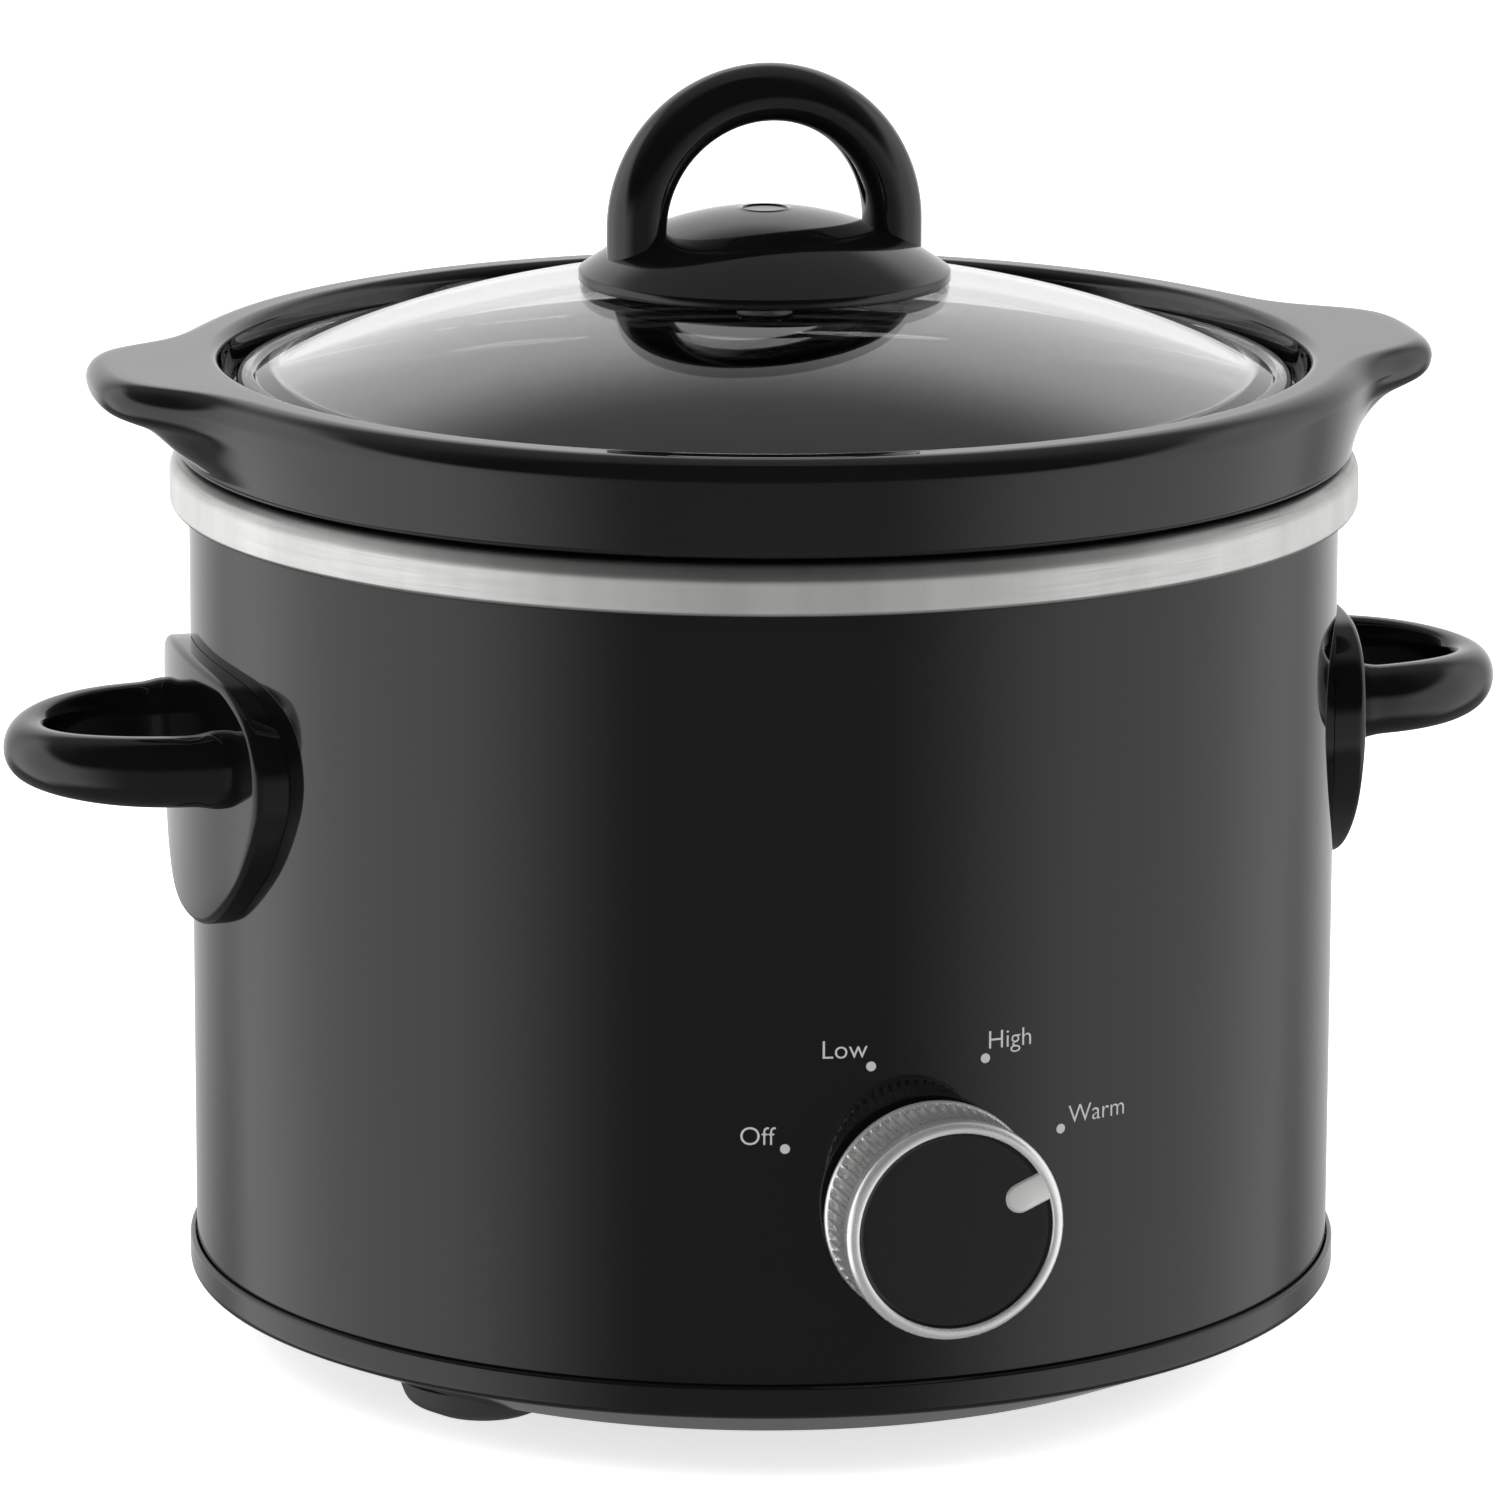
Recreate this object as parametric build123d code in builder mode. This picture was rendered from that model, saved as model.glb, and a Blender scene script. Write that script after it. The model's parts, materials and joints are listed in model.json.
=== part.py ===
"""A round slow cooker of about two quarts, as the separate pieces that it comes apart into.

The pot's vertical axis is the Z axis, the surface it stands on is z = 0, and the control knob faces -Y.
The side handles and the pot's lugs lie along X. Everything is in millimetres.
"""

import os
from math import cos, radians, sin, sqrt

from build123d import *

os.makedirs("parts", exist_ok=True)

# ---------------------------------------------------------------- driving dimensions
body_radius = 96.0  # outside of the steel drum
sheet = 0.8  # steel sheet thickness
gap = 0.1  # between casing pieces that are assembled together

underside_z = 5.8  # flat underside of the base pan, above the soles of the feet
underside_radius = 79.3
ring_low_z = 13.5  # foot of the base ring's upright side
ring_radius = 97.1
ring_wall = 0.9
pan_wall = 2.1
seam_z = 18.6  # top of the base ring, where the drum goes in
drum_seat = 3.2  # how far the drum goes into the base ring
drum_top_z = 151.6

rim_radius = 99.2
rim_low_z = 144.5
rim_top_z = drum_top_z + 2 * sheet
rim_bend = 3.4  # radius of the rim band's shoulder
hem_bend = 1.5  # radius of its lower edge

foot_circle = 66.0  # the feet stand on this radius
foot_angles = {"front_left": 210, "front_right": 330, "rear_right": 30, "rear_left": 150}
foot_radius = 13.0
foot_sole = 7.5
foot_peg = 3.0

handle_z = 108.0
handle_reach = 129.4  # tip of a side handle, from the axis
handle_half_width = 25.3  # outside of its loop
handle_bar = (7.4, 12.7)  # the loop's thickness and height
handle_face_x = 99.2  # middle of the plate's front
handle_face_radius = 137.0  # the plate's front is a little flatter than the drum
handle_screw_y = 21.6
screw_radius = 1.6

knob_z = 47.5
knob_rear = 97.6  # distances from the axis towards the front
knob_front = 111.6
knob_radius = 17.9
knob_face_radius = 16.2
rib_count = 72
pointer_angle = 66  # clockwise from the top, seen from the front
pointer_width = 4.8
pointer_tip = 11.5  # where the tab's round end is centred, from the knob's axis
shaft_radius = 3.0
shaft_end = 107.2
shaft_flat = 1.8  # distance of the flat from the shaft's axis
running = 0.05  # radial clearance of the shaft in its bush
bush_radius = 4.7

liner_radius = 90.8
liner_floor_z = 56.5
liner_corner = 22.0
shield_z = 49.0
shield_radius = 66.0
stud_radius = 2.0

flange_low_z = rim_top_z + 0.4  # underside of the pot's flange, just clear of the rim
flange_radius = 98.2
pot_top_z = 169.5
pot_wall_radius = 88.4
pot_floor_z = 65.0
ledge_z = 161.8
recess_radius = 89.6
bowl_radius = 82.0
bowl_floor_z = 72.0
pot_turn = -6.5  # the pot can stand turned in its well; here its lugs are a little off the handles
lug_reach = 113.5
lug_half_width = 26.0
lug_low_z = 155.0
lug_top_z = 169.2

lid_radius = 87.9
lid_low_z = ledge_z + 0.3
lid_crown_z = 182.8
lid_sphere = 221.0
lid_glass = 3.6
disc_radius = 31.0
disc_low_z = 181.1
disc_edge_z = 183.5
disc_top_z = 193.2
arch_top_z = 217.3
arch_half_width = 27.0
arch_bar = (9.4, 12.0)  # thickness in the arch's plane and width across it
lid_hole = 4.2
pilot_radius = 2.0

heater_low_z = 79.0
heater_high_z = 103.5
heater_sheet = 1.2
terminal_angles = (81, 90, 99)
spring_angle = 60
fuse_centre = (-40.0, 38.0, 46.3)

gland_z = 31.0
gland_neck = 6.2
cord_hole = 3.6
lead_radius = 1.1
lead_bend = 6.0


# ---------------------------------------------------------------- helpers
def save(builder, name):
    """Label a finished piece and write its STEP file."""
    builder.part.label = name
    export_step(builder.part, f"parts/{name}.step")


def rings(builder, radius, height):
    """The round edges of a turned piece that have this radius and height."""
    found = builder.edges().filter_by(GeomType.CIRCLE)
    found = found.filter_by(lambda edge: abs(edge.radius - radius) < 0.02)
    return found.filter_by(lambda edge: abs((edge @ 0).Z - height) < 0.02)


def cup_section(radius, low, high, corner):
    """Half section of a straight-sided cup with a rounded corner, filled from the axis outwards."""
    with BuildSketch(Plane.XZ) as section:
        with BuildLine():
            Line((0, low), (radius - corner, low))
            CenterArc((radius - corner, low + corner), corner, -90, 90)
            Polyline((radius, low + corner), (radius, high), (0, high), (0, low))
        make_face()
    return section.sketch


def round_bar(radius, near, far, height):
    """A bar across the pot's axis at this height, from near to far in front of it (behind it if negative)."""
    with BuildPart() as bar:
        with BuildSketch(Plane.XZ.offset(near)):
            with Locations((0, height)):
                Circle(radius)
        extrude(amount=far - near)
    return bar.part


def screw_places():
    """The two screws of a side handle, on a plane that looks along X."""
    return Locations((handle_screw_y, handle_z), (-handle_screw_y, handle_z))


def dome_height(radius, sphere, crown):
    """Height of a dome of this sphere radius and crown height, at a distance from its axis."""
    return crown - sphere + sqrt(sphere**2 - radius**2)


# ---------------------------------------------------------------- casing
def make_outer_wrap():
    with BuildPart() as outer_wrap:
        with BuildSketch(Plane.XY.offset(seam_z - drum_seat)):
            Circle(body_radius)
            Circle(body_radius - sheet, mode=Mode.SUBTRACT)
        extrude(amount=drum_top_z - seam_z + drum_seat)
        add(round_bar(bush_radius + 0.2, 80, 100, knob_z), mode=Mode.SUBTRACT)
        add(round_bar(gland_neck + gap, -80, -100, gland_z), mode=Mode.SUBTRACT)
        with BuildSketch(Plane.YZ):
            with screw_places():
                Circle(screw_radius + 0.2)
        extrude(amount=body_radius + 10, both=True, mode=Mode.SUBTRACT)
    save(outer_wrap, "outer_wrap")


def make_rim_band():
    """Rolled channel over the drum's top edge: upright side, round shoulder and a hem below."""
    top_inner = liner_radius + 0.7
    hem_inner = body_radius + 0.3
    hem = (rim_radius - hem_bend, rim_low_z + hem_bend)
    shoulder = (rim_radius - rim_bend, rim_top_z - rim_bend)
    with BuildPart() as rim_band:
        with BuildSketch(Plane.XZ):
            with BuildLine():
                Line((hem_inner, rim_low_z), (hem[0], rim_low_z))
                CenterArc(hem, hem_bend, -90, 90)
                Line((rim_radius, hem[1]), (rim_radius, shoulder[1]))
                CenterArc(shoulder, rim_bend, 0, 90)
                Polyline(
                    (shoulder[0], rim_top_z),
                    (top_inner, rim_top_z),
                    (top_inner, rim_top_z - sheet),
                    (shoulder[0], rim_top_z - sheet),
                )
                CenterArc(shoulder, rim_bend - sheet, 90, -90)
                Line((rim_radius - sheet, shoulder[1]), (rim_radius - sheet, hem[1]))
                CenterArc(hem, hem_bend - sheet, 0, -90)
                Polyline((hem[0], rim_low_z + sheet), (hem_inner, rim_low_z + sheet), (hem_inner, rim_low_z))
            make_face()
        revolve(axis=Axis.Z)
        fillet(rings(rim_band, top_inner, rim_top_z), radius=0.5)
    save(rim_band, "rim_band")


def make_inner_liner():
    """The heating well: a deep can whose flange lies on the drum's top edge."""
    with BuildPart() as inner_liner:
        revolve(cup_section(liner_radius, liner_floor_z, drum_top_z + sheet, liner_corner), Axis.Z)
        with BuildSketch(Plane.XY.offset(drum_top_z)):
            Circle(body_radius - 0.4)
        extrude(amount=sheet)
        well = cup_section(liner_radius - sheet, liner_floor_z + sheet, drum_top_z + 5, liner_corner - sheet)
        revolve(well, Axis.Z, mode=Mode.SUBTRACT)
        fillet(rings(inner_liner, liner_radius - sheet, drum_top_z + sheet), radius=0.6)
    save(inner_liner, "inner_liner")


def make_base_pan():
    """Bottom cover: a tapered dish with an upright ring that the drum stands in, and a lip inside it."""
    recess_z = 12.5
    recess_radius = 14.0
    ring_inner = ring_radius - ring_wall
    groove_z = seam_z - drum_seat - gap
    lip = body_radius - sheet - gap
    lip_z = seam_z + 3.4
    with BuildPart() as base_pan:
        with BuildSketch(Plane.XZ):
            with BuildLine():
                Polyline(
                    (0, recess_z),
                    (recess_radius, recess_z),
                    (recess_radius + 1.5, underside_z),
                    (underside_radius, underside_z),
                    (ring_radius, ring_low_z),
                    (ring_radius, seam_z),
                    (ring_inner, seam_z),
                    (ring_inner, groove_z),
                    (lip, groove_z),
                    (lip, lip_z),
                    (lip - pan_wall, lip_z),
                    (lip - pan_wall, ring_low_z + 0.7),
                    (underside_radius - 0.7, underside_z + pan_wall),
                    (recess_radius + 3.4, underside_z + pan_wall),
                    (recess_radius + 1.9, recess_z + pan_wall),
                    (0, recess_z + pan_wall),
                    close=True,
                )
            make_face()
        revolve(axis=Axis.Z)
        fillet(rings(base_pan, ring_radius, ring_low_z), radius=1.0)
        fillet(rings(base_pan, ring_radius, seam_z), radius=0.5)
        fillet(rings(base_pan, underside_radius, underside_z), radius=2.5)
        with BuildSketch(Plane.XY):
            for angle in foot_angles.values():
                with PolarLocations(foot_circle, 1, start_angle=angle):
                    Circle(foot_peg + 0.15)
            Circle(stud_radius + 0.2)
        extrude(amount=seam_z, mode=Mode.SUBTRACT)
    save(base_pan, "base_pan")


def make_feet():
    """Domed rubber feet, each with a peg up through the base pan."""
    for place, angle in foot_angles.items():
        centre = (foot_circle * cos(radians(angle)), foot_circle * sin(radians(angle)), 0)
        with BuildPart() as foot:
            with BuildSketch(Plane(origin=centre, x_dir=(1, 0, 0), z_dir=(0, -1, 0))):
                with BuildLine():
                    Line((0, 0), (foot_sole, 0))
                    ThreePointArc((foot_sole, 0), (foot_radius - 1.7, 2.1), (foot_radius, underside_z))
                    Polyline(
                        (foot_radius, underside_z),
                        (foot_peg, underside_z),
                        (foot_peg, underside_z + pan_wall + 1),
                        (0, underside_z + pan_wall + 1),
                        (0, 0),
                    )
                make_face()
            revolve(axis=Axis(centre, (0, 0, 1)))
        save(foot, f"foot_{place}")


def turned_disc(radius, low, high, hole=0.0):
    """A flat disc about the pot's axis, with an optional hole."""
    with BuildPart() as disc:
        with BuildSketch(Plane.XY.offset(low)):
            Circle(radius)
            if hole:
                Circle(hole, mode=Mode.SUBTRACT)
        extrude(amount=high - low)
    return disc.part


def make_stud():
    """Stud under the liner, the heat shield that hangs on it, and the nut that holds the base pan."""
    nut_z = 9.2
    with BuildPart() as liner_stud:
        add(turned_disc(stud_radius, nut_z - 1, liner_floor_z))
        add(turned_disc(7.0, liner_floor_z - 1.2, liner_floor_z))
        add(turned_disc(4.0, shield_z - 3, shield_z))
    save(liner_stud, "liner_stud")

    with BuildPart() as heat_shield:
        add(turned_disc(shield_radius, shield_z, shield_z + 0.6, stud_radius + gap))
        add(turned_disc(shield_radius, shield_z + 0.6, shield_z + 3.2, shield_radius - 0.8))
    save(heat_shield, "heat_shield")

    with BuildPart() as base_nut:
        with BuildSketch(Plane.XY.offset(nut_z)):
            RegularPolygon(4.2, 6)
        extrude(amount=2.8)
        add(turned_disc(6.5, nut_z + 2.8, nut_z + 3.3))
        add(turned_disc(stud_radius, 0, 20), mode=Mode.SUBTRACT)
    save(base_nut, "base_nut")


# ---------------------------------------------------------------- side handles
def make_side_handles():
    """Moulded plate that hugs the drum, with a level loop to lift by; the left one mirrors the right."""
    half_width = handle_half_width - handle_bar[0] / 2
    loop_x = 100.5
    root_x = 95.5
    bend = handle_reach - handle_bar[0] / 2 - loop_x
    with BuildPart() as right_handle:
        with BuildSketch(Plane.YZ.offset(80)):
            with BuildLine():
                Spline(
                    (0, handle_z + 14.8),
                    (22.8, handle_z + 13.5),
                    (31.6, handle_z + 9.4),
                    (34.5, handle_z + 1.0),
                    (33.2, handle_z - 7.5),
                    (23.8, handle_z - 19.3),
                    (0, handle_z - 28.4),
                    tangents=[(1, 0), (-1, 0)],
                )
                mirror(about=Plane.YZ)
            make_face()
        extrude(amount=30)
        with BuildSketch(Plane.XY.offset(60)):
            with Locations((handle_face_x - handle_face_radius, 0)):
                Circle(handle_face_radius)
            Circle(body_radius + gap, mode=Mode.SUBTRACT)
        extrude(amount=80, mode=Mode.INTERSECT)
        front = right_handle.faces().filter_by(GeomType.CYLINDER).sort_by(lambda face: face.center().X)[-1]
        fillet(front.edges(), radius=1.5)
        with BuildLine(Plane.XY.offset(handle_z)) as loop:
            Line((root_x, -half_width), (loop_x, -half_width))
            EllipticalCenterArc((loop_x, 0), bend, half_width, start_angle=-90, arc_size=180)
            Line((loop_x, half_width), (root_x, half_width))
        with BuildSketch(Plane(origin=loop.line @ 0, x_dir=(0, 1, 0), z_dir=loop.line % 0)):
            Ellipse(handle_bar[0] / 2, handle_bar[1] / 2)
        sweep(path=loop.line)
        with BuildSketch(Plane.YZ.offset(88)):
            with screw_places():
                Circle(screw_radius)
        extrude(amount=14, mode=Mode.SUBTRACT)
    save(right_handle, "right_handle")

    with BuildPart() as left_handle:
        mirror(right_handle.part, about=Plane.YZ)
    save(left_handle, "left_handle")


def make_handle_screws():
    """Two screws per side handle, from inside the drum, with heads that fit its curve."""
    with BuildPart() as right_screws:
        with BuildSketch(Plane.YZ.offset(89.4)):
            with screw_places():
                Circle(3.4)
        extrude(amount=6)
        with BuildSketch(Plane.XY.offset(handle_z - 5)):
            Circle(body_radius - sheet - gap)
        extrude(amount=10, mode=Mode.INTERSECT)
        with BuildSketch(Plane.YZ.offset(90.5)):
            with screw_places():
                Circle(screw_radius)
        extrude(amount=11)
    save(right_screws, "right_handle_screws")

    with BuildPart() as left_screws:
        mirror(right_screws.part, about=Plane.YZ)
    save(left_screws, "left_handle_screws")


# ---------------------------------------------------------------- knob
def make_knob_ring():
    """Ribbed outer ring of the knob, with a rear flange, a front bezel and the pointer tab."""
    ribs_start = knob_rear + 1.1
    bezel_start = knob_front - 3.0
    ledge = (knob_front - 3.6, knob_front - 2.0)
    rib_radius = knob_radius - 0.25
    with BuildPart() as knob_ring:
        with BuildSketch(Plane.XZ.offset(ribs_start)):
            with Locations((0, knob_z)):
                Circle(rib_radius)
                with PolarLocations(rib_radius + 0.05, rib_count):
                    Circle(0.45, mode=Mode.SUBTRACT)
        extrude(amount=bezel_start - ribs_start)
        add(round_bar(knob_radius, knob_rear, ribs_start, knob_z))
        add(round_bar(knob_radius, bezel_start, knob_front, knob_z))
        front = knob_ring.faces().sort_by(Axis.Y)[0]
        chamfer(front.edges(), length=0.6)
        add(round_bar(knob_face_radius - 0.6, knob_rear, ledge[0], knob_z), mode=Mode.SUBTRACT)
        add(round_bar(knob_face_radius - 1.7, ledge[0], ledge[1], knob_z), mode=Mode.SUBTRACT)
        add(round_bar(knob_face_radius, ledge[1], knob_front, knob_z), mode=Mode.SUBTRACT)
        with BuildSketch(Plane.XZ.offset(knob_front - 1.4)):
            add(pointer_outline(0.0))
        extrude(amount=1.2)
    save(knob_ring, "knob_ring")


def pointer_outline(clearance):
    """The pointer's outline on a plane that faces the front: a round-ended tab out to the bezel."""
    length = knob_face_radius + 0.3 - pointer_tip
    with BuildSketch() as outline:
        with Locations(Location((0, knob_z, 0), (0, 0, -pointer_angle))):
            with Locations((0, pointer_tip)):
                Circle(pointer_width / 2 + clearance)
            with Locations((0, pointer_tip + length / 2)):
                Rectangle(pointer_width + 2 * clearance, length)
    return outline.sketch


def make_knob_core():
    """Black face disc, the hub behind it and the shaft that turns the switch."""
    hub_front = knob_front - 3.6
    with BuildPart() as knob_disc:
        add(round_bar(knob_face_radius - gap, knob_front - 2.0, knob_front - 0.4, knob_z))
        fillet(knob_disc.faces().sort_by(Axis.Y)[0].edges(), radius=0.3)
        with BuildSketch(Plane.XZ.offset(knob_front - 3)):
            add(pointer_outline(gap))
        extrude(amount=4, mode=Mode.SUBTRACT)
    save(knob_disc, "knob_disc")

    with BuildPart() as knob_hub:
        add(round_bar(knob_face_radius - 0.7, hub_front - 2.2, hub_front, knob_z))
        add(round_bar(6.0, 99.6, hub_front - 2.2, knob_z))
        add(shaft_profile(running, 99.6, shaft_end + 0.2), mode=Mode.SUBTRACT)
    save(knob_hub, "knob_hub")

    with BuildPart() as switch_shaft:
        add(shaft_profile(0.0, 84.4, shaft_end))
    save(switch_shaft, "switch_shaft")


def shaft_profile(clearance, near, far):
    """The switch's shaft, round at the back and with a flat where the hub takes it."""
    flat_start = 100.4
    with BuildPart() as shaft:
        add(round_bar(shaft_radius + clearance, near, flat_start, knob_z))
        with BuildSketch(Plane.XZ.offset(flat_start)):
            with Locations((0, knob_z)):
                Circle(shaft_radius + clearance)
                with Locations((0, shaft_flat + clearance + 3)):
                    Rectangle(10, 6, mode=Mode.SUBTRACT)
        extrude(amount=far - flat_start)
    return shaft.part


# ---------------------------------------------------------------- switch, heater and wiring
def make_switch():
    """Rotary switch behind the drum, its nut in front of it and its three spade terminals."""
    front, back = 92.5, 79.5
    with BuildPart() as rotary_switch:
        with BuildSketch(Plane.XZ.offset(back)):
            with Locations((0, knob_z)):
                RectangleRounded(26, 15.6, 2)
        extrude(amount=front - back)
        add(round_bar(bush_radius, front, 99.4, knob_z))
        add(round_bar(shaft_radius + running, 84.2, 100, knob_z), mode=Mode.SUBTRACT)
    save(rotary_switch, "rotary_switch")

    with BuildPart() as switch_nut:
        with BuildSketch(Plane.XZ.offset(body_radius + gap)):
            with Locations((0, knob_z)):
                RegularPolygon(6.8, 6)
                Circle(bush_radius, mode=Mode.SUBTRACT)
        extrude(amount=2.2)
    save(switch_nut, "switch_nut")

    with BuildPart() as switch_terminals:
        with BuildSketch(Plane.XZ.offset(back - 6)):
            with Locations((-8, knob_z), (0, knob_z), (8, knob_z)):
                Rectangle(4.8, 0.8)
        extrude(amount=6)
    save(switch_terminals, "switch_terminals")


def make_heater():
    """Heating band round the liner, open at one side, with terminals and the springs that close it."""
    inner = liner_radius + gap
    outer = inner + heater_sheet
    with BuildPart() as heater_band:
        with BuildSketch(Plane.XY.offset(heater_low_z)):
            Circle(outer)
            Circle(inner, mode=Mode.SUBTRACT)
            with PolarLocations(inner, 1, start_angle=spring_angle):
                Rectangle(20, 9, mode=Mode.SUBTRACT)
        extrude(amount=heater_high_z - heater_low_z)
    save(heater_band, "heater_band")

    with BuildPart() as heater_terminals:
        with BuildSketch(Plane.XY.offset(heater_low_z + 1)):
            for angle in terminal_angles:
                with PolarLocations(outer + 0.5, 1, start_angle=angle):
                    Rectangle(0.8, 5)
        extrude(amount=9)
    save(heater_terminals, "heater_terminals")

    out = Vector(1, 0, 0).rotate(Axis.Z, spring_angle)
    along = Vector(0, 1, 0).rotate(Axis.Z, spring_angle)
    length = 13.5
    with BuildPart() as band_springs:
        for height in (heater_low_z + 7, heater_high_z - 7):
            start = out * (outer + 1.4) - along * (length / 2) + Vector(0, 0, height)
            with BuildLine() as coil:
                Helix(pitch=0.9, height=length, radius=0.85, center=start, direction=along)
            with BuildSketch(Plane(origin=coil.line @ 0, z_dir=coil.line % 0)):
                Circle(0.25)
            sweep(path=coil.line, is_frenet=True)
    save(band_springs, "band_springs")


def make_fuse():
    """Thermal fuse under the heat shield, and the strap that holds it there."""
    across = Plane(origin=fuse_centre, x_dir=(1, 0, 0), z_dir=(0, -1, 0))
    flange_y = shield_z - fuse_centre[2]
    with BuildPart() as thermal_fuse:
        with BuildSketch(across):
            Circle(2.0)
        extrude(amount=7, both=True)
        with BuildSketch(across):
            Circle(0.6)
        extrude(amount=10, both=True)
    save(thermal_fuse, "thermal_fuse")

    with BuildPart() as fuse_clip:
        with BuildSketch(across):
            Circle(2.6)
            with Locations((0, flange_y - 0.3)):
                Rectangle(13, 0.6)
            Circle(2.05, mode=Mode.SUBTRACT)
        extrude(amount=2.5, both=True)
    save(fuse_clip, "fuse_clip")


def make_cord_gland():
    """Bushing where a mains cord would enter, and the two crimp caps that would join its wires."""
    with BuildPart() as cord_gland:
        add(round_bar(gland_neck + 1.2, -92.0, -94.5, gland_z))
        add(round_bar(gland_neck, -94.5, -body_radius - gap, gland_z))
        add(round_bar(gland_neck + 2.2, -body_radius - gap, -99.0, gland_z))
        add(round_bar(gland_neck + 0.2, -99.0, -108.4, gland_z))
        fillet(cord_gland.faces().sort_by(Axis.Y)[-1].edges(), radius=1.0)
        add(round_bar(cord_hole, -90.0, -110.0, gland_z), mode=Mode.SUBTRACT)
    save(cord_gland, "cord_gland")

    with BuildPart() as crimp_caps:
        with BuildSketch(Plane.XZ.offset(-70)):
            with Locations((5, gland_z), (-5, gland_z)):
                Circle(3.2)
        extrude(amount=-12, taper=4)
    save(crimp_caps, "crimp_caps")


def make_lead(name, points):
    """An insulated wire along straight runs joined by arcs."""
    with BuildPart() as lead:
        with BuildLine() as route:
            FilletPolyline(*points, radius=lead_bend)
        with BuildSketch(Plane(origin=route.line @ 0, z_dir=route.line % 0)):
            Circle(lead_radius)
        sweep(path=route.line)
    save(lead, name)


def make_leads():
    """Four leads between cord, switch, fuse and heater, and the wire after the fuse."""
    rise = [Vector(93.6, 0, 0).rotate(Axis.Z, angle) for angle in terminal_angles]
    ends = [[(p.X, p.Y, 58), (p.X, p.Y, heater_low_z + 1)] for p in rise]
    make_lead("live_lead", [(5, 69.5, 31), (15, 44, 27), (24, 8, 26), (20, -30, 31), (8, -54, 45), (8, -73.3, 47.5)])
    high = [(0, -73.3, 47.5), (0, -57, 45.5), (7, -34, 37), (9, 4, 36), (10, 40, 37), (13, 76, 42)]
    make_lead("high_lead", high + ends[0])
    low = [(-8, -73.3, 47.5), (-8, -57, 45.5), (-14, -34, 34), (-15, 4, 32), (-12, 40, 35), (-3, 78, 42)]
    make_lead("low_lead", low + ends[1])
    x, y, z = fuse_centre
    make_lead("neutral_lead", [(-5, 69, 31), (-7, 58, 33), (-30, 58, 42), (x, y + 17, z), (x, y + 10.2, z)])
    bend = [(x, y - 10.2, z), (x, y - 20, 45), (-52, 12, 40), (-60, 28, 38), (-54, 58, 40), (-34, 80, 46)]
    make_lead("fuse_lead", bend + ends[2])


# ---------------------------------------------------------------- pot and lid
def make_stoneware_pot():
    """Glazed pot: tapered wall, deep flange with a recess for the lid, and a broad lug at each side."""
    wall_low = 84.0
    bowl_low = 78.0
    crest = (91.2, pot_top_z)
    with BuildPart() as lugs:
        with BuildSketch(Plane.XY.offset(lug_low_z)):
            Circle(flange_radius - 0.1)
            Rectangle(2 * lug_reach, 2 * lug_half_width)
        extrude(amount=lug_top_z - lug_low_z)
        upright = lugs.edges().filter_by(Axis.Z)
        fillet(upright.filter_by(lambda edge: abs(edge.center().X) > lug_reach - 1), radius=12)
        upright = lugs.edges().filter_by(Axis.Z)
        upright = upright.filter_by(lambda edge: abs(abs(edge.center().Y) - lug_half_width) < 0.1)
        fillet(upright.filter_by(lambda edge: abs(edge.center().X) < flange_radius), radius=14)
        fillet(lugs.faces().sort_by(Axis.Z)[-1].edges(), radius=4.5)
        fillet(lugs.faces().sort_by(Axis.Z)[0].edges(), radius=9.0)
        add(turned_disc(recess_radius + 3, lug_low_z, lug_top_z), mode=Mode.SUBTRACT)

    with BuildPart() as stoneware_pot:
        with BuildSketch(Plane.XZ):
            with BuildLine():
                Polyline(
                    (0, pot_floor_z),
                    (wall_low, pot_floor_z),
                    (pot_wall_radius, flange_low_z),
                    (flange_radius, flange_low_z),
                    (flange_radius, pot_top_z),
                    crest,
                    (recess_radius, ledge_z),
                    (bowl_radius + 3, ledge_z),
                    (bowl_radius, ledge_z - 3),
                    (bowl_low, bowl_floor_z),
                    (0, bowl_floor_z),
                    close=True,
                )
            make_face()
        revolve(axis=Axis.Z)
        fillet(rings(stoneware_pot, wall_low, pot_floor_z), radius=14)
        fillet(rings(stoneware_pot, bowl_low, bowl_floor_z), radius=14)
        fillet(rings(stoneware_pot, bowl_radius, ledge_z - 3), radius=4)
        fillet(rings(stoneware_pot, flange_radius, flange_low_z), radius=1.8)
        fillet(rings(stoneware_pot, flange_radius, pot_top_z), radius=3.5)
        fillet(rings(stoneware_pot, *crest), radius=2.0)
        add(lugs.part.rotate(Axis.Z, pot_turn))
    save(stoneware_pot, "stoneware_pot")


def make_glass_lid():
    """Shallow glass dome with a thick rounded rim and a hole for the handle's screw."""
    outer_edge = lid_radius - 3.4
    inner_sphere = lid_sphere - lid_glass
    inner_crown = lid_crown_z - lid_glass
    inner_edge = outer_edge - 1.5
    top_of_rim = lid_low_z + 3.6

    def outer(radius):
        return (radius, dome_height(radius, lid_sphere, lid_crown_z))

    def inner(radius):
        return (radius, dome_height(radius, inner_sphere, inner_crown))

    with BuildPart() as glass_lid:
        with BuildSketch(Plane.XZ):
            with BuildLine():
                ThreePointArc(outer(lid_hole), outer(outer_edge / 2), outer(outer_edge))
                Polyline(
                    outer(outer_edge),
                    (lid_radius, top_of_rim),
                    (lid_radius, lid_low_z),
                    (inner_edge + 0.4, lid_low_z),
                    inner(inner_edge),
                )
                ThreePointArc(inner(inner_edge), inner(inner_edge / 2), inner(lid_hole))
                Line(inner(lid_hole), outer(lid_hole))
            make_face()
        revolve(axis=Axis.Z)
        fillet(rings(glass_lid, lid_radius, top_of_rim), radius=1.6)
        fillet(rings(glass_lid, lid_radius, lid_low_z), radius=1.2)
    save(glass_lid, "glass_lid")


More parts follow.
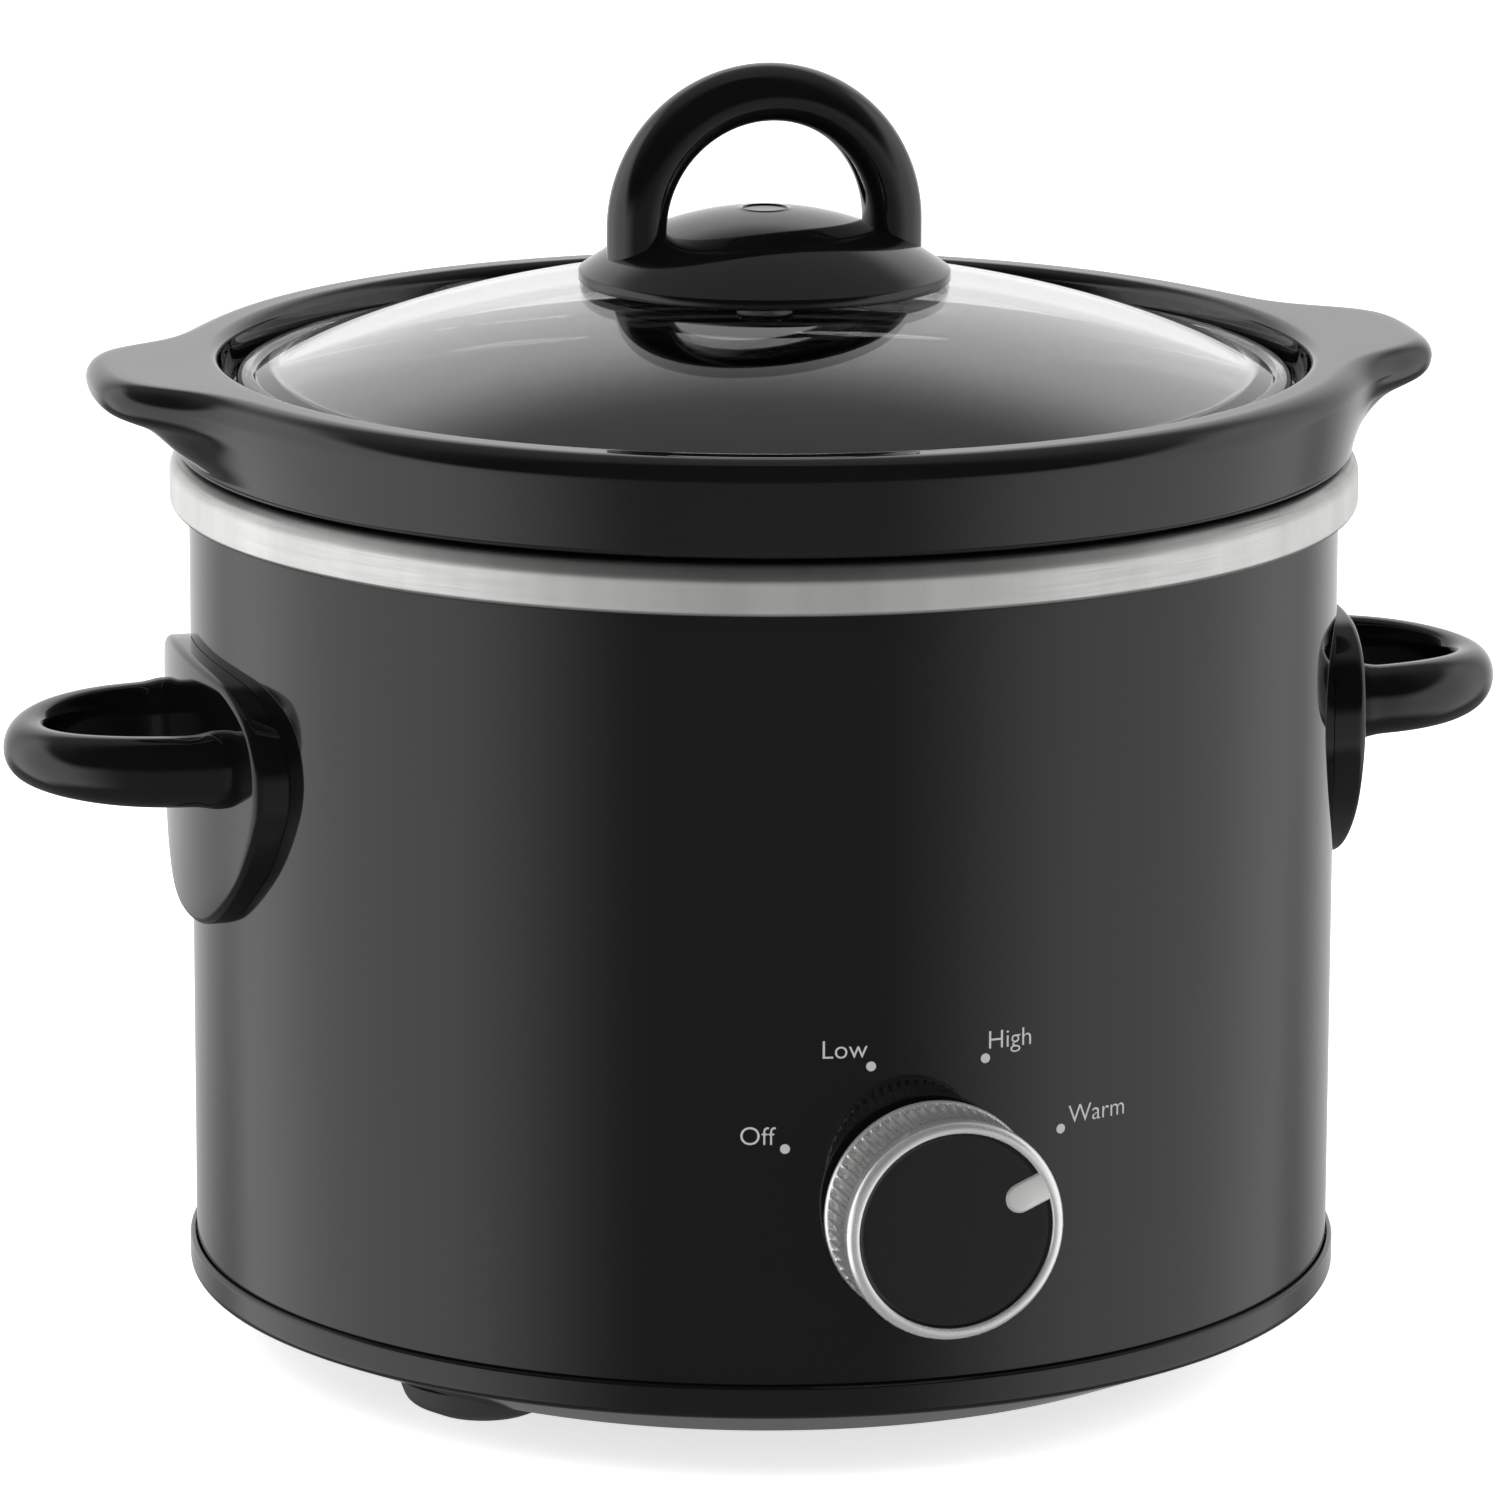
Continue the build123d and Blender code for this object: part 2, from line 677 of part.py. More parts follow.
def make_lid_handle():
    """Domed disc, hollow underneath, with an arch along X and a boss for the screw."""
    rise = disc_top_z - disc_edge_z
    sphere = ((disc_radius - 0.6) ** 2 + rise**2) / (2 * rise)
    inner_sphere = sphere - 2.5
    inner_crown = disc_top_z - 2.5
    dimple = 4.2
    boss_radius = 8.0
    boss_z = lid_crown_z + 1.1
    wall = 2.4
    bend = arch_half_width - arch_bar[0] / 2
    arch_z = arch_top_z - arch_half_width
    leg_z = disc_edge_z + 0.5

    def outer(radius):
        return (radius, dome_height(radius, sphere, disc_top_z))

    def inner(radius):
        return (radius, dome_height(radius, inner_sphere, inner_crown))

    with BuildPart() as lid_handle:
        with BuildSketch(Plane.XZ):
            with BuildLine():
                Polyline(
                    (0, disc_top_z - 0.6),
                    (dimple, disc_top_z - 0.6),
                    outer(dimple),
                )
                ThreePointArc(outer(dimple), outer(18), outer(disc_radius - 0.6))
                Polyline(
                    outer(disc_radius - 0.6),
                    (disc_radius, disc_edge_z - 0.4),
                    (disc_radius, disc_low_z),
                    (disc_radius - wall, disc_low_z),
                    inner(disc_radius - wall),
                )
                ThreePointArc(inner(disc_radius - wall), inner(18), inner(boss_radius))
                Polyline(
                    inner(boss_radius),
                    (boss_radius, boss_z),
                    (pilot_radius, boss_z),
                    (pilot_radius, disc_top_z - 2.6),
                    (0, disc_top_z - 2.6),
                    (0, disc_top_z - 0.6),
                )
            make_face()
        revolve(axis=Axis.Z)
        with BuildLine(Plane.XZ) as arch:
            Line((bend, leg_z), (bend, arch_z))
            CenterArc((0, arch_z), bend, 0, 180)
            Line((-bend, arch_z), (-bend, leg_z))
        with BuildSketch(Plane(origin=arch.line @ 0, x_dir=(1, 0, 0), z_dir=arch.line % 0)):
            RectangleRounded(*arch_bar, 4.2)
        sweep(path=arch.line)
    save(lid_handle, "lid_handle")


def make_lid_fixings():
    """Gasket above the glass, seat below it, and the screw up into the handle's boss."""
    seat_radius = 22.0
    seat_z = dome_height(seat_radius, lid_sphere - lid_glass, lid_crown_z - lid_glass) - 0.1
    boss_z = lid_crown_z - lid_glass - 0.4
    with BuildPart() as lid_gasket:
        add(turned_disc(12.0, lid_crown_z + gap / 2, lid_crown_z + 1.1, 2.2))
    save(lid_gasket, "lid_gasket")

    with BuildPart() as lid_seat:
        add(turned_disc(seat_radius, seat_z - 2.8, seat_z))
        fillet(lid_seat.edges().filter_by(GeomType.CIRCLE), radius=0.8)
        add(turned_disc(9.0, seat_z - 2.8, boss_z))
        add(turned_disc(pilot_radius + 0.1, seat_z - 5, boss_z + 1), mode=Mode.SUBTRACT)
    save(lid_seat, "lid_seat")

    with BuildPart() as lid_screw:
        add(turned_disc(4.6, seat_z - 5.0, seat_z - 2.8))
        fillet(lid_screw.faces().sort_by(Axis.Z)[0].edges(), radius=1.2)
        add(turned_disc(pilot_radius, seat_z - 2.8, disc_top_z - 3.2))
        with BuildSketch(Plane.XY.offset(seat_z - 5.0)):
            Rectangle(4.4, 1.0)
            Rectangle(1.0, 4.4)
        extrude(amount=1.2, mode=Mode.SUBTRACT)
    save(lid_screw, "lid_screw")


make_outer_wrap()
make_rim_band()
make_inner_liner()
make_base_pan()
make_feet()
make_stud()
make_side_handles()
make_handle_screws()
make_knob_ring()
make_knob_core()
make_switch()
make_heater()
make_fuse()
make_cord_gland()
make_leads()
make_stoneware_pot()
make_glass_lid()
make_lid_handle()
make_lid_fixings()
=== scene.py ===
import json
import math

import bmesh
import bpy
from mathutils import Matrix, Vector


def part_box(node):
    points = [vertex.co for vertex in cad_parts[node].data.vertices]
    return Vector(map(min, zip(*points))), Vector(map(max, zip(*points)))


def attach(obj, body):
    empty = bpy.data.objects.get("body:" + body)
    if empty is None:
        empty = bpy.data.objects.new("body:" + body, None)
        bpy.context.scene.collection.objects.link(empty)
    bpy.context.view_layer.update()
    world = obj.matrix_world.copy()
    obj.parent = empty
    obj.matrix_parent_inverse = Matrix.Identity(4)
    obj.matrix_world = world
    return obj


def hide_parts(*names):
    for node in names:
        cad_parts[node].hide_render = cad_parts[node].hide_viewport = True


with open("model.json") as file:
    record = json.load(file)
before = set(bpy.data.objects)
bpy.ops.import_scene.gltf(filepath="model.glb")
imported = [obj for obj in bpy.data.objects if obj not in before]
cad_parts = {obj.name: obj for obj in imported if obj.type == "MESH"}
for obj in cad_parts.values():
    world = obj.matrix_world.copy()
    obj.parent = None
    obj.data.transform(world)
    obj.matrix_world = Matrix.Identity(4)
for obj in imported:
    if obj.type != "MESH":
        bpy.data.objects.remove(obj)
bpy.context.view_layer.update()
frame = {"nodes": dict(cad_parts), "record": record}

MM = 0.001
DEGREE = math.pi / 180
AROUND = 256  # segments round a turned piece
HOLD = 0.35  # mm from a rounded corner to the loop that keeps the flat beside it flat
ARC_STEP = 9 * DEGREE


# ---------------------------------------------------------------- places, in mm, read from the frame
def span(node):
    """A CAD node's box as two tuples in mm."""
    low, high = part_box(node)
    return tuple(v / MM for v in low), tuple(v / MM for v in high)


DRUM_R = span("outer_wrap")[1][1]
DRUM_LOW, DRUM_TOP = span("outer_wrap")[0][2], span("outer_wrap")[1][2]
RIM_R = span("rim_band")[1][0]
RIM_LOW, RIM_TOP = span("rim_band")[0][2], span("rim_band")[1][2]
BASE_R = span("base_pan")[1][0]
BASE_LOW, BASE_TOP = span("base_pan")[0][2], span("base_pan")[1][2]
KNOB_Z = (span("knob_ring")[0][2] + span("knob_ring")[1][2]) / 2
KNOB_R = (span("knob_ring")[1][2] - span("knob_ring")[0][2]) / 2
KNOB_FRONT, KNOB_REAR = -span("knob_ring")[0][1], -span("knob_ring")[1][1]
BEZEL_R = 16.0
POT_LOW, POT_TOP = span("stoneware_pot")[0][2], span("stoneware_pot")[1][2]
LUG_REACH = 113.0
LID_R = span("glass_lid")[1][0]
LID_LOW, LID_CROWN = span("glass_lid")[0][2], span("glass_lid")[1][2]
SEAT_R = 19.5
SEAT_LOW, SEAT_TOP = span("lid_seat")[0][2], span("lid_seat")[1][2]
DISC_R = span("lid_handle")[1][1]
DISC_LOW, ARCH_TOP = span("lid_handle")[0][2], span("lid_handle")[1][2]
HANDLE_REACH = span("right_handle")[1][0]
HANDLE_TOP = span("right_handle")[1][2]
HANDLE_Z = HANDLE_TOP - 14.9
GLAND_Z = (span("cord_gland")[0][2] + span("cord_gland")[1][2]) / 2
GLAND_BACK = span("cord_gland")[1][1]


# ---------------------------------------------------------------- materials
def shader(name, **sockets):
    """A Principled material; each keyword is a socket's name with _ for spaces."""
    material = bpy.data.materials.new(name)
    material.use_nodes = True
    bsdf = material.node_tree.nodes["Principled BSDF"]
    for key, value in sockets.items():
        socket = bsdf.inputs[key.replace("_", " ")]
        socket.default_value = (*value, 1.0) if isinstance(value, tuple) else value
    return material, bsdf


def noise(material, scale, detail=3.0, stretch=(1, 1, 1)):
    """A noise texture in the object's own space, in cycles per metre."""
    nodes, links = material.node_tree.nodes, material.node_tree.links
    place = nodes.new("ShaderNodeTexCoord")
    mapping = nodes.new("ShaderNodeMapping")
    mapping.inputs["Scale"].default_value = stretch
    links.new(place.outputs["Object"], mapping.inputs["Vector"])
    texture = nodes.new("ShaderNodeTexNoise")
    texture.inputs["Scale"].default_value = scale
    texture.inputs["Detail"].default_value = detail
    links.new(mapping.outputs["Vector"], texture.inputs["Vector"])
    return texture.outputs["Fac"]


def between(material, factor, low, high, socket):
    """Drives a number socket between two values by a factor."""
    nodes, links = material.node_tree.nodes, material.node_tree.links
    remap = nodes.new("ShaderNodeMapRange")
    remap.inputs["From Min"].default_value = 0.3
    remap.inputs["From Max"].default_value = 0.7
    remap.inputs["To Min"].default_value = low
    remap.inputs["To Max"].default_value = high
    links.new(factor, remap.inputs["Value"])
    links.new(remap.outputs["Result"], socket)


def tint(material, factor, low, high, socket):
    """Drives a colour socket between two colours by a factor."""
    nodes, links = material.node_tree.nodes, material.node_tree.links
    ramp = nodes.new("ShaderNodeValToRGB")
    ramp.color_ramp.elements[0].position, ramp.color_ramp.elements[1].position = 0.3, 0.7
    ramp.color_ramp.elements[0].color = (*low, 1)
    ramp.color_ramp.elements[1].color = (*high, 1)
    links.new(factor, ramp.inputs["Fac"])
    links.new(ramp.outputs["Color"], socket)


def bump(material, bsdf, height, distance, strength=1.0):
    """A bump of this depth, in metres."""
    nodes, links = material.node_tree.nodes, material.node_tree.links
    node = nodes.new("ShaderNodeBump")
    node.inputs["Strength"].default_value = strength
    node.inputs["Distance"].default_value = distance
    links.new(height, node.inputs["Height"])
    links.new(node.outputs["Normal"], bsdf.inputs["Normal"])


def plain_surface(name, color, rough, vary=0.03, grain=900.0, depth=0.00001, **more):
    """A moulded, painted or cast surface: a little uneven in shade, gloss and level."""
    material, bsdf = shader(name, **more)
    cloud = noise(material, 35.0)
    darker = tuple(c * 0.85 for c in color)
    tint(material, cloud, darker, color, bsdf.inputs["Base Color"])
    between(material, noise(material, 60.0), max(rough - vary, 0.0), rough + vary, bsdf.inputs["Roughness"])
    bump(material, bsdf, noise(material, grain, 2.0), depth, 0.6)
    return material


def brushed_steel():
    """Satin band, brushed round its circumference, with faint upright marks from rolling."""
    material, bsdf = shader("brushed_band", Metallic=1.0, Anisotropic=0.9)
    nodes, links = material.node_tree.nodes, material.node_tree.links
    fine = noise(material, 60.0, 6.0, (1.0, 1.0, 90.0))
    upright = noise(material, 150.0, 5.0, (1.0, 1.0, 0.06))
    tint(material, upright, (0.74, 0.74, 0.725), (0.86, 0.855, 0.84), bsdf.inputs["Base Color"])
    between(material, fine, 0.36, 0.46, bsdf.inputs["Roughness"])
    bump(material, bsdf, fine, 0.00001, 0.25)
    tangent = nodes.new("ShaderNodeTangent")
    tangent.direction_type, tangent.axis = "RADIAL", "Z"
    links.new(tangent.outputs["Tangent"], bsdf.inputs["Tangent"])
    return material


def metal(name, color, low, high, streak=(1, 1, 1), scale=400.0, amount=1.0):
    """A metal with a fine grain that varies its colour and its gloss."""
    material, bsdf = shader(name, Metallic=amount)
    grain = noise(material, scale, 4.0, streak)
    tint(material, grain, tuple(c * 0.9 for c in color), color, bsdf.inputs["Base Color"])
    between(material, grain, low, high, bsdf.inputs["Roughness"])
    bump(material, bsdf, grain, 0.000004, 0.15)
    return material


def glazed():
    """Deep black glaze, pooled very slightly unevenly over the stoneware."""
    material, bsdf = shader("pot_glaze", IOR=1.52)
    pooled = noise(material, 14.0, 2.0)
    tint(material, pooled, (0.0015, 0.0015, 0.0018), (0.004, 0.0038, 0.0035), bsdf.inputs["Base Color"])
    between(material, noise(material, 45.0), 0.012, 0.035, bsdf.inputs["Roughness"])
    bump(material, bsdf, pooled, 0.0003, 0.2)
    return material


def clear_glass():
    """Clear glass, with a faint unevenness."""
    material, bsdf = shader("lid_glass", Transmission_Weight=1.0, IOR=1.47)
    cloud = noise(material, 20.0)
    tint(material, cloud, (0.955, 0.97, 0.965), (0.985, 0.99, 0.99), bsdf.inputs["Base Color"])
    between(material, noise(material, 30.0), 0.0, 0.012, bsdf.inputs["Roughness"])
    return material


enamel = plain_surface("drum_enamel", (0.002, 0.002, 0.002), 0.028, 0.010, 500.0, 0.000003, IOR=1.5)
gloss_plastic = plain_surface("gloss_black", (0.0025, 0.0025, 0.0025), 0.045, 0.012, 300.0, 0.000004, IOR=1.5)
satin_plastic = plain_surface("satin_black", (0.006, 0.006, 0.006), 0.22, 0.05, 1500.0, 0.00002)
base_plastic = plain_surface("base_black", (0.003, 0.003, 0.003), 0.075, 0.02, 700.0, 0.00001)
rubber = plain_surface("foot_rubber", (0.03, 0.03, 0.03), 0.55, 0.08, 1500.0, 0.00003)
print_ink = plain_surface("print_grey", (0.30, 0.30, 0.30), 0.45, 0.05)
steel = brushed_steel()
silver = metal("knob_silver_paint", (0.82, 0.82, 0.81), 0.24, 0.30, scale=120.0, amount=0.85)
aluminised = metal("aluminised_sheet", (0.62, 0.63, 0.64), 0.30, 0.46, (1, 1, 20), 60.0)
zinc = metal("zinc_plate", (0.62, 0.62, 0.6), 0.25, 0.4)
brass = metal("tinned_brass", (0.72, 0.56, 0.30), 0.25, 0.4)
glaze = glazed()
glass = clear_glass()
cream = plain_surface("switch_body", (0.72, 0.70, 0.62), 0.4, 0.05)
nylon = plain_surface("crimp_nylon", (0.70, 0.70, 0.64), 0.35, 0.05)
lead_colours = {
    "lead_black": plain_surface("sleeve_black", (0.02, 0.02, 0.02), 0.5, 0.05),
    "lead_red": plain_surface("sleeve_red", (0.45, 0.03, 0.02), 0.5, 0.05),
    "lead_white": plain_surface("sleeve_white", (0.75, 0.75, 0.72), 0.5, 0.05),
}
slot_looks = {
    "black_enamel": enamel,
    "brushed_steel": steel,
    "liner_metal": aluminised,
    "black_plastic": satin_plastic,
    "gloss_black_plastic": gloss_plastic,
    "zinc_steel": zinc,
    "switch_plastic": cream,
    "brass": brass,
    "cap_plastic": nylon,
    "knob_silver": silver,
    "black_glaze": glaze,
    "clear_glass": glass,
    "black_rubber": rubber,
    **lead_colours,
}


def finish_cad_nodes():
    """Every CAD node that stays on show takes the look of its slot."""
    slots = {entry["node"]: entry["material_slot"] for entry in frame["record"]["subparts"]}
    for name, obj in frame["nodes"].items():
        obj.data.materials.clear()
        obj.data.materials.append(slot_looks[slots[name]])


# ---------------------------------------------------------------- mesh helpers
def rounded(corners, closed=True):
    """Outline through corners (r, z, radius), with arcs at the corners and hold loops beside them."""
    points = []
    count = len(corners)
    for i, (r, z, radius) in enumerate(corners):
        here = Vector((r, z))
        if radius == 0 or (not closed and i in (0, count - 1)):
            points.append(here)
            continue
        to_last = (Vector(corners[i - 1][:2]) - here).normalized()
        to_next = (Vector(corners[(i + 1) % count][:2]) - here).normalized()
        turn = to_last.angle(to_next)
        reach = radius / math.tan(turn / 2)
        centre = here + (to_last + to_next).normalized() * radius / math.sin(turn / 2)
        first = here + to_last * reach - centre
        last = here + to_next * reach - centre
        start, end = math.atan2(first.y, first.x), math.atan2(last.y, last.x)
        sweep = (end - start + math.pi) % (2 * math.pi) - math.pi
        steps = max(2, math.ceil(abs(sweep) / ARC_STEP))
        for k in range(steps + 1):
            angle = start + sweep * k / steps
            points.append(centre + Vector((math.cos(angle), math.sin(angle))) * radius)
    return hold_flats(points, closed)


def hold_flats(points, closed):
    """Adds a point near each end of every long straight, so that shading doesn't bleed along it."""
    held = []
    count = len(points)
    for i, here in enumerate(points):
        held.append(here)
        if not closed and i == count - 1:
            break
        after = points[(i + 1) % count]
        length = (after - here).length
        if length > 4 * HOLD:
            held.append(here.lerp(after, HOLD / length))
            held.append(after.lerp(here, HOLD / length))
    return held


def dome(start, end, sphere, crown, steps=24):
    """Points along a dome of this sphere radius and crown height, between two radii."""
    radii = [start + (end - start) * k / steps for k in range(steps + 1)]
    return [Vector((r, crown - sphere + math.sqrt(sphere**2 - r**2))) for r in radii]


def shell(name, rows, closed_rows=True, closed_ring=True, sharp=50):
    """A mesh from rows of points in mm; each row is joined to the next. Repeated points are merged."""
    made = bmesh.new()
    grid = [[made.verts.new([c * MM for c in point]) for point in row] for row in rows]
    across, along = len(grid[0]), len(grid)
    for i in range(along if closed_ring else along - 1):
        for k in range(across if closed_rows else across - 1):
            one, two = grid[i], grid[(i + 1) % along]
            made.faces.new((one[k], one[(k + 1) % across], two[(k + 1) % across], two[k]))
    return mesh_from(name, made, sharp)


def mesh_from(name, made, sharp=50):
    """Merges, closes and smooths a bmesh, marks its sharp edges and returns it as a mesh."""
    bmesh.ops.remove_doubles(made, verts=made.verts, dist=1e-6)
    flat = [f for f in made.faces if f.calc_area() < 1e-14]
    bmesh.ops.delete(made, geom=flat, context="FACES")
    bmesh.ops.recalc_face_normals(made, faces=made.faces)
    for face in made.faces:
        face.smooth = True
    for edge in made.edges:
        if len(edge.link_faces) == 2 and edge.calc_face_angle() > sharp * DEGREE:
            edge.smooth = False
    mesh = bpy.data.meshes.new(name)
    made.to_mesh(mesh)
    made.free()
    return mesh


def turned(name, outline, around=AROUND, axis="Z", centre=(0, 0, 0), sharp=50):
    """A closed outline of (radius, along) points turned about an axis that is along Z or Y."""
    rows = []
    for i in range(around):
        angle = 2 * math.pi * i / around
        c, s = math.cos(angle), math.sin(angle)
        if axis == "Z":
            row = [(centre[0] + p.x * c, centre[1] + p.x * s, centre[2] + p.y) for p in outline]
        else:
            row = [(centre[0] + p.x * c, centre[1] + p.y, centre[2] + p.x * s) for p in outline]
        rows.append(row)
    return shell(name, rows, sharp=sharp)


def swept(name, path, sections, sharp=50):
    """A closed bar: path gives (place, outward, across) at each station, sections its outline there."""
    rows = []
    for (place, outward, across), section in zip(path, sections):
        rows.append([place + outward * u + across * v for u, v in section])
    made = bmesh.new()
    grid = [[made.verts.new(point * MM) for point in row] for row in rows]
    count = len(grid[0])
    for one, two in zip(grid, grid[1:]):
        for k in range(count):
            made.faces.new((one[k], one[(k + 1) % count], two[(k + 1) % count], two[k]))
    made.faces.new(grid[0])
    made.faces.new(grid[-1][::-1])
    return mesh_from(name, made, sharp)


def d_section(outer, inner, half, count=40):
    """A D-like bar section: round on its outer side (+u), flatter on its inner side."""
    section = []
    for k in range(count):
        angle = 2 * math.pi * k / count
        c, s = math.cos(angle), math.sin(angle)
        power = 1.0 if c >= 0 else 0.625
        u = (outer if c >= 0 else inner) * math.copysign(abs(c) ** power, c)
        section.append((u, half * math.copysign(abs(s) ** power, s)))
    return section


def show(name, mesh, body, slot, look, *nodes):
    """Puts a mesh in the scene as a piece that rides on a body, and stands for CAD nodes if any are given."""
    obj = bpy.data.objects.new(name, mesh)
    bpy.context.scene.collection.objects.link(obj)
    mesh.materials.append(look)
    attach(obj, body)
    if nodes:
        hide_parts(*nodes)
    return obj


# ---------------------------------------------------------------- casing
def make_drum():
    """The enamelled sheet round the casing."""
    sheet = 0.8
    outline = rounded([
        (DRUM_R, DRUM_LOW, 0.2), (DRUM_R, DRUM_TOP, 0.2),
        (DRUM_R - sheet, DRUM_TOP, 0.2), (DRUM_R - sheet, DRUM_LOW, 0.2),
    ])
    show("drum", turned("drum", outline), "base", "black_enamel", enamel, "outer_wrap")


def make_rim():
    """Rolled trim: rounded hem below, upright side, soft shoulder on top."""
    wall = 0.8
    outline = rounded([
        (DRUM_R + 0.25, RIM_LOW, 0.3), (RIM_R, RIM_LOW, 1.2), (RIM_R, RIM_TOP, 3.4),
        (91.5, RIM_TOP, 0.35), (91.5, RIM_TOP - wall, 0.35), (RIM_R - wall, RIM_TOP - wall, 2.6),
        (RIM_R - wall, RIM_LOW + wall, 0.5), (DRUM_R + 0.25, RIM_LOW + wall, 0.3),
    ])
    show("rim_trim", turned("rim_trim", outline), "base", "brushed_steel", steel, "rim_band")


def make_base():
    """Base pan with its upright ring, a slanted underside and a recess for the nut."""
    inner = DRUM_R - 0.9
    outline = rounded([
        (0, 12.5, 0), (14, 12.5, 0.8), (15.5, BASE_LOW, 0.8), (79.3, BASE_LOW, 2.5),
        (BASE_R, 13.5, 1.4), (BASE_R, 18.6, 0.55), (BASE_R - 0.9, 18.6, 0.15),
        (BASE_R - 0.9, 15.3, 0.15), (inner, 15.3, 0.1), (inner, BASE_TOP, 0.3), (inner - 2.1, BASE_TOP, 0.3),
        (inner - 2.1, 14.2, 1.0), (78.6, 7.9, 1.0), (17.4, 7.9, 0.8), (15.9, 14.6, 0.8), (0, 14.6, 0),
    ], closed=False)
    mesh = turned("base_shell", outline)
    show("base_shell", mesh, "base", "black_plastic", base_plastic, "base_pan")


def make_feet():
    """Four domed feet, alike, on their CAD places."""
    outline = rounded([
        (0, 0, 0), (8.6, 0, 1.5), (12.9, 2.0, 3.0), (14.3, 5.9, 0.3),
        (3.0, 5.9, 0.2), (3.0, 8.9, 0.4), (0, 8.9, 0),
    ], closed=False)
    for name in ("foot_front_left", "foot_front_right", "foot_rear_left", "foot_rear_right"):
        low, high = span(name)
        centre = ((low[0] + high[0]) / 2, (low[1] + high[1]) / 2, 0)
        mesh = turned(f"{name}_dome", outline, 96, "Z", centre)
        show(f"{name}_dome", mesh, "base", "black_rubber", rubber, name)


def make_gland():
    """Moulded bushing at the back, with three ribs round its nose."""
    nose = GLAND_BACK
    outline = rounded([
        (3.6, 92.0, 0.3), (7.4, 92.0, 0.4), (7.4, 94.5, 0.3), (6.2, 94.5, 0.2), (6.2, 96.1, 0.2),
        (8.4, 96.1, 0.3), (8.4, 99.0, 0.8), (6.1, 99.0, 0.5), (5.9, 100.6, 0.4), (6.5, 101.2, 0.4),
        (6.5, 102.4, 0.4), (5.7, 103.0, 0.4), (5.7, 104.2, 0.4), (6.2, 104.8, 0.4), (6.2, 106.0, 0.4),
        (5.5, 106.6, 0.4), (5.3, nose, 1.0), (3.6, nose, 0.4),
    ])
    mesh = turned("cord_bushing", outline, 96, "Y", (0, 0, GLAND_Z))
    show("cord_bushing", mesh, "base", "black_plastic", satin_plastic, "cord_gland")


# ---------------------------------------------------------------- side handles
def between_knots(knots, t):
    """The Catmull-Rom point a share t of the way from the second of four knots to the third."""
    a, b, c, d = knots
    return 0.5 * (2 * b + (c - a) * t + (2 * a - 5 * b + 4 * c - d) * t**2 + (3 * b - a - 3 * c + d) * t**3)


def closed_spline(points, steps=14):
    """A smooth closed line through points."""
    line = []
    count = len(points)
    for i in range(count):
        knots = [Vector(points[(i + k) % count]) for k in (-1, 0, 1, 2)]
        line += [between_knots(knots, k / steps) for k in range(steps)]
    return line


def plate_outline():
    """The plate's outline on its YZ plane, widest at the level of the loop."""
    half = [
        (0, 14.9), (15, 14.5), (23.8, 13.0), (31.2, 8.6),
        (34.4, 1.0), (33.2, -7.5), (26.4, -18.2), (14, -27.3),
    ]
    other = [(-y, z) for y, z in half[1:]]
    return closed_spline([(0, 14.9)] + half[1:] + [(0, -29.6)] + other[::-1])


def handle_plate(side):
    """Shield-shaped plate that follows the drum behind and is flatter in front, with a rolled edge."""
    outline = plate_outline()
    count = len(outline)
    inward = []
    for i, here in enumerate(outline):
        along = (outline[(i + 1) % count] - outline[i - 1]).normalized()
        inward.append(Vector((-along.y, along.x)))
    middle = Vector((0, -3.0))
    if (middle - outline[0]).dot(inward[0]) < 0:
        inward = [-v for v in inward]
    roll = 1.1
    front_x, front_r = 99.3, 150.0
    back_r = DRUM_R + 0.08

    def front(y):
        """How far out the plate's front is."""
        return front_x - front_r + math.sqrt(front_r**2 - y**2)

    def back(y):
        """How far out the plate's back is."""
        return math.sqrt(back_r**2 - y**2)

    rows = []
    for i in range(count):
        row = []
        rim = outline[i] + inward[i] * roll
        for k in range(10):
            p = middle.lerp(rim, k / 9)
            row.append((side * front(p.x), p.x, HANDLE_Z + p.y))
        for k in range(1, 8):
            turn = math.pi / 2 * k / 7
            p = outline[i] + inward[i] * (roll - roll * math.sin(turn))
            row.append((side * (front(p.x) - roll + roll * math.cos(turn)), p.x, HANDLE_Z + p.y))
        edge = outline[i]
        side_top, side_low = front(edge.x) - roll, back(edge.x)
        for share in (0.12, 0.5, 0.88, 1.0):
            row.append((side * (side_top + (side_low - side_top) * share), edge.x, HANDLE_Z + edge.y))
        for k in range(8, -1, -1):
            p = middle.lerp(edge, k / 9)
            row.append((side * back(p.x), p.x, HANDLE_Z + p.y))
        rows.append(row)
    return shell("plate", rows, closed_rows=False, sharp=60)


def handle_loop(side):
    """Level loop to lift by: a D-section bar on a half-ellipse, a little slimmer at its tip."""
    root, start = 94.6, 100.5
    outer, inner, half = 4.1, 3.3, 5.85
    reach, half_width = HANDLE_REACH - outer - start, 25.3 - outer
    stations = []
    for k in range(7):
        stations.append((Vector((root + (start - root) * k / 7, -half_width, 0)), Vector((0, -1, 0)), 0.0))
    bends = 56
    for k in range(bends + 1):
        angle = -math.pi / 2 + math.pi * k / bends
        place = Vector((start + reach * math.cos(angle), half_width * math.sin(angle), 0))
        outward = Vector((half_width * math.cos(angle), reach * math.sin(angle), 0)).normalized()
        stations.append((place, outward, math.cos(angle)))
    for k in range(7):
        stations.append((
            Vector((start - (start - root) * (k + 1) / 7, half_width, 0)), Vector((0, 1, 0)), 0.0,
        ))
    path, sections = [], []
    for place, outward, tip in stations:
        flare = 1 + 0.10 * math.exp(-((max(place.x - 98.6, 0.0) / 2.2) ** 2))
        slim = 1 - 0.16 * tip**3
        place = Vector((side * place.x, place.y, HANDLE_Z))
        outward = Vector((side * outward.x, outward.y, 0))
        path.append((place, outward, Vector((0, 0, 1))))
        sections.append(d_section(outer * flare, inner * flare, half * slim * flare))
    return swept("loop", path, sections)


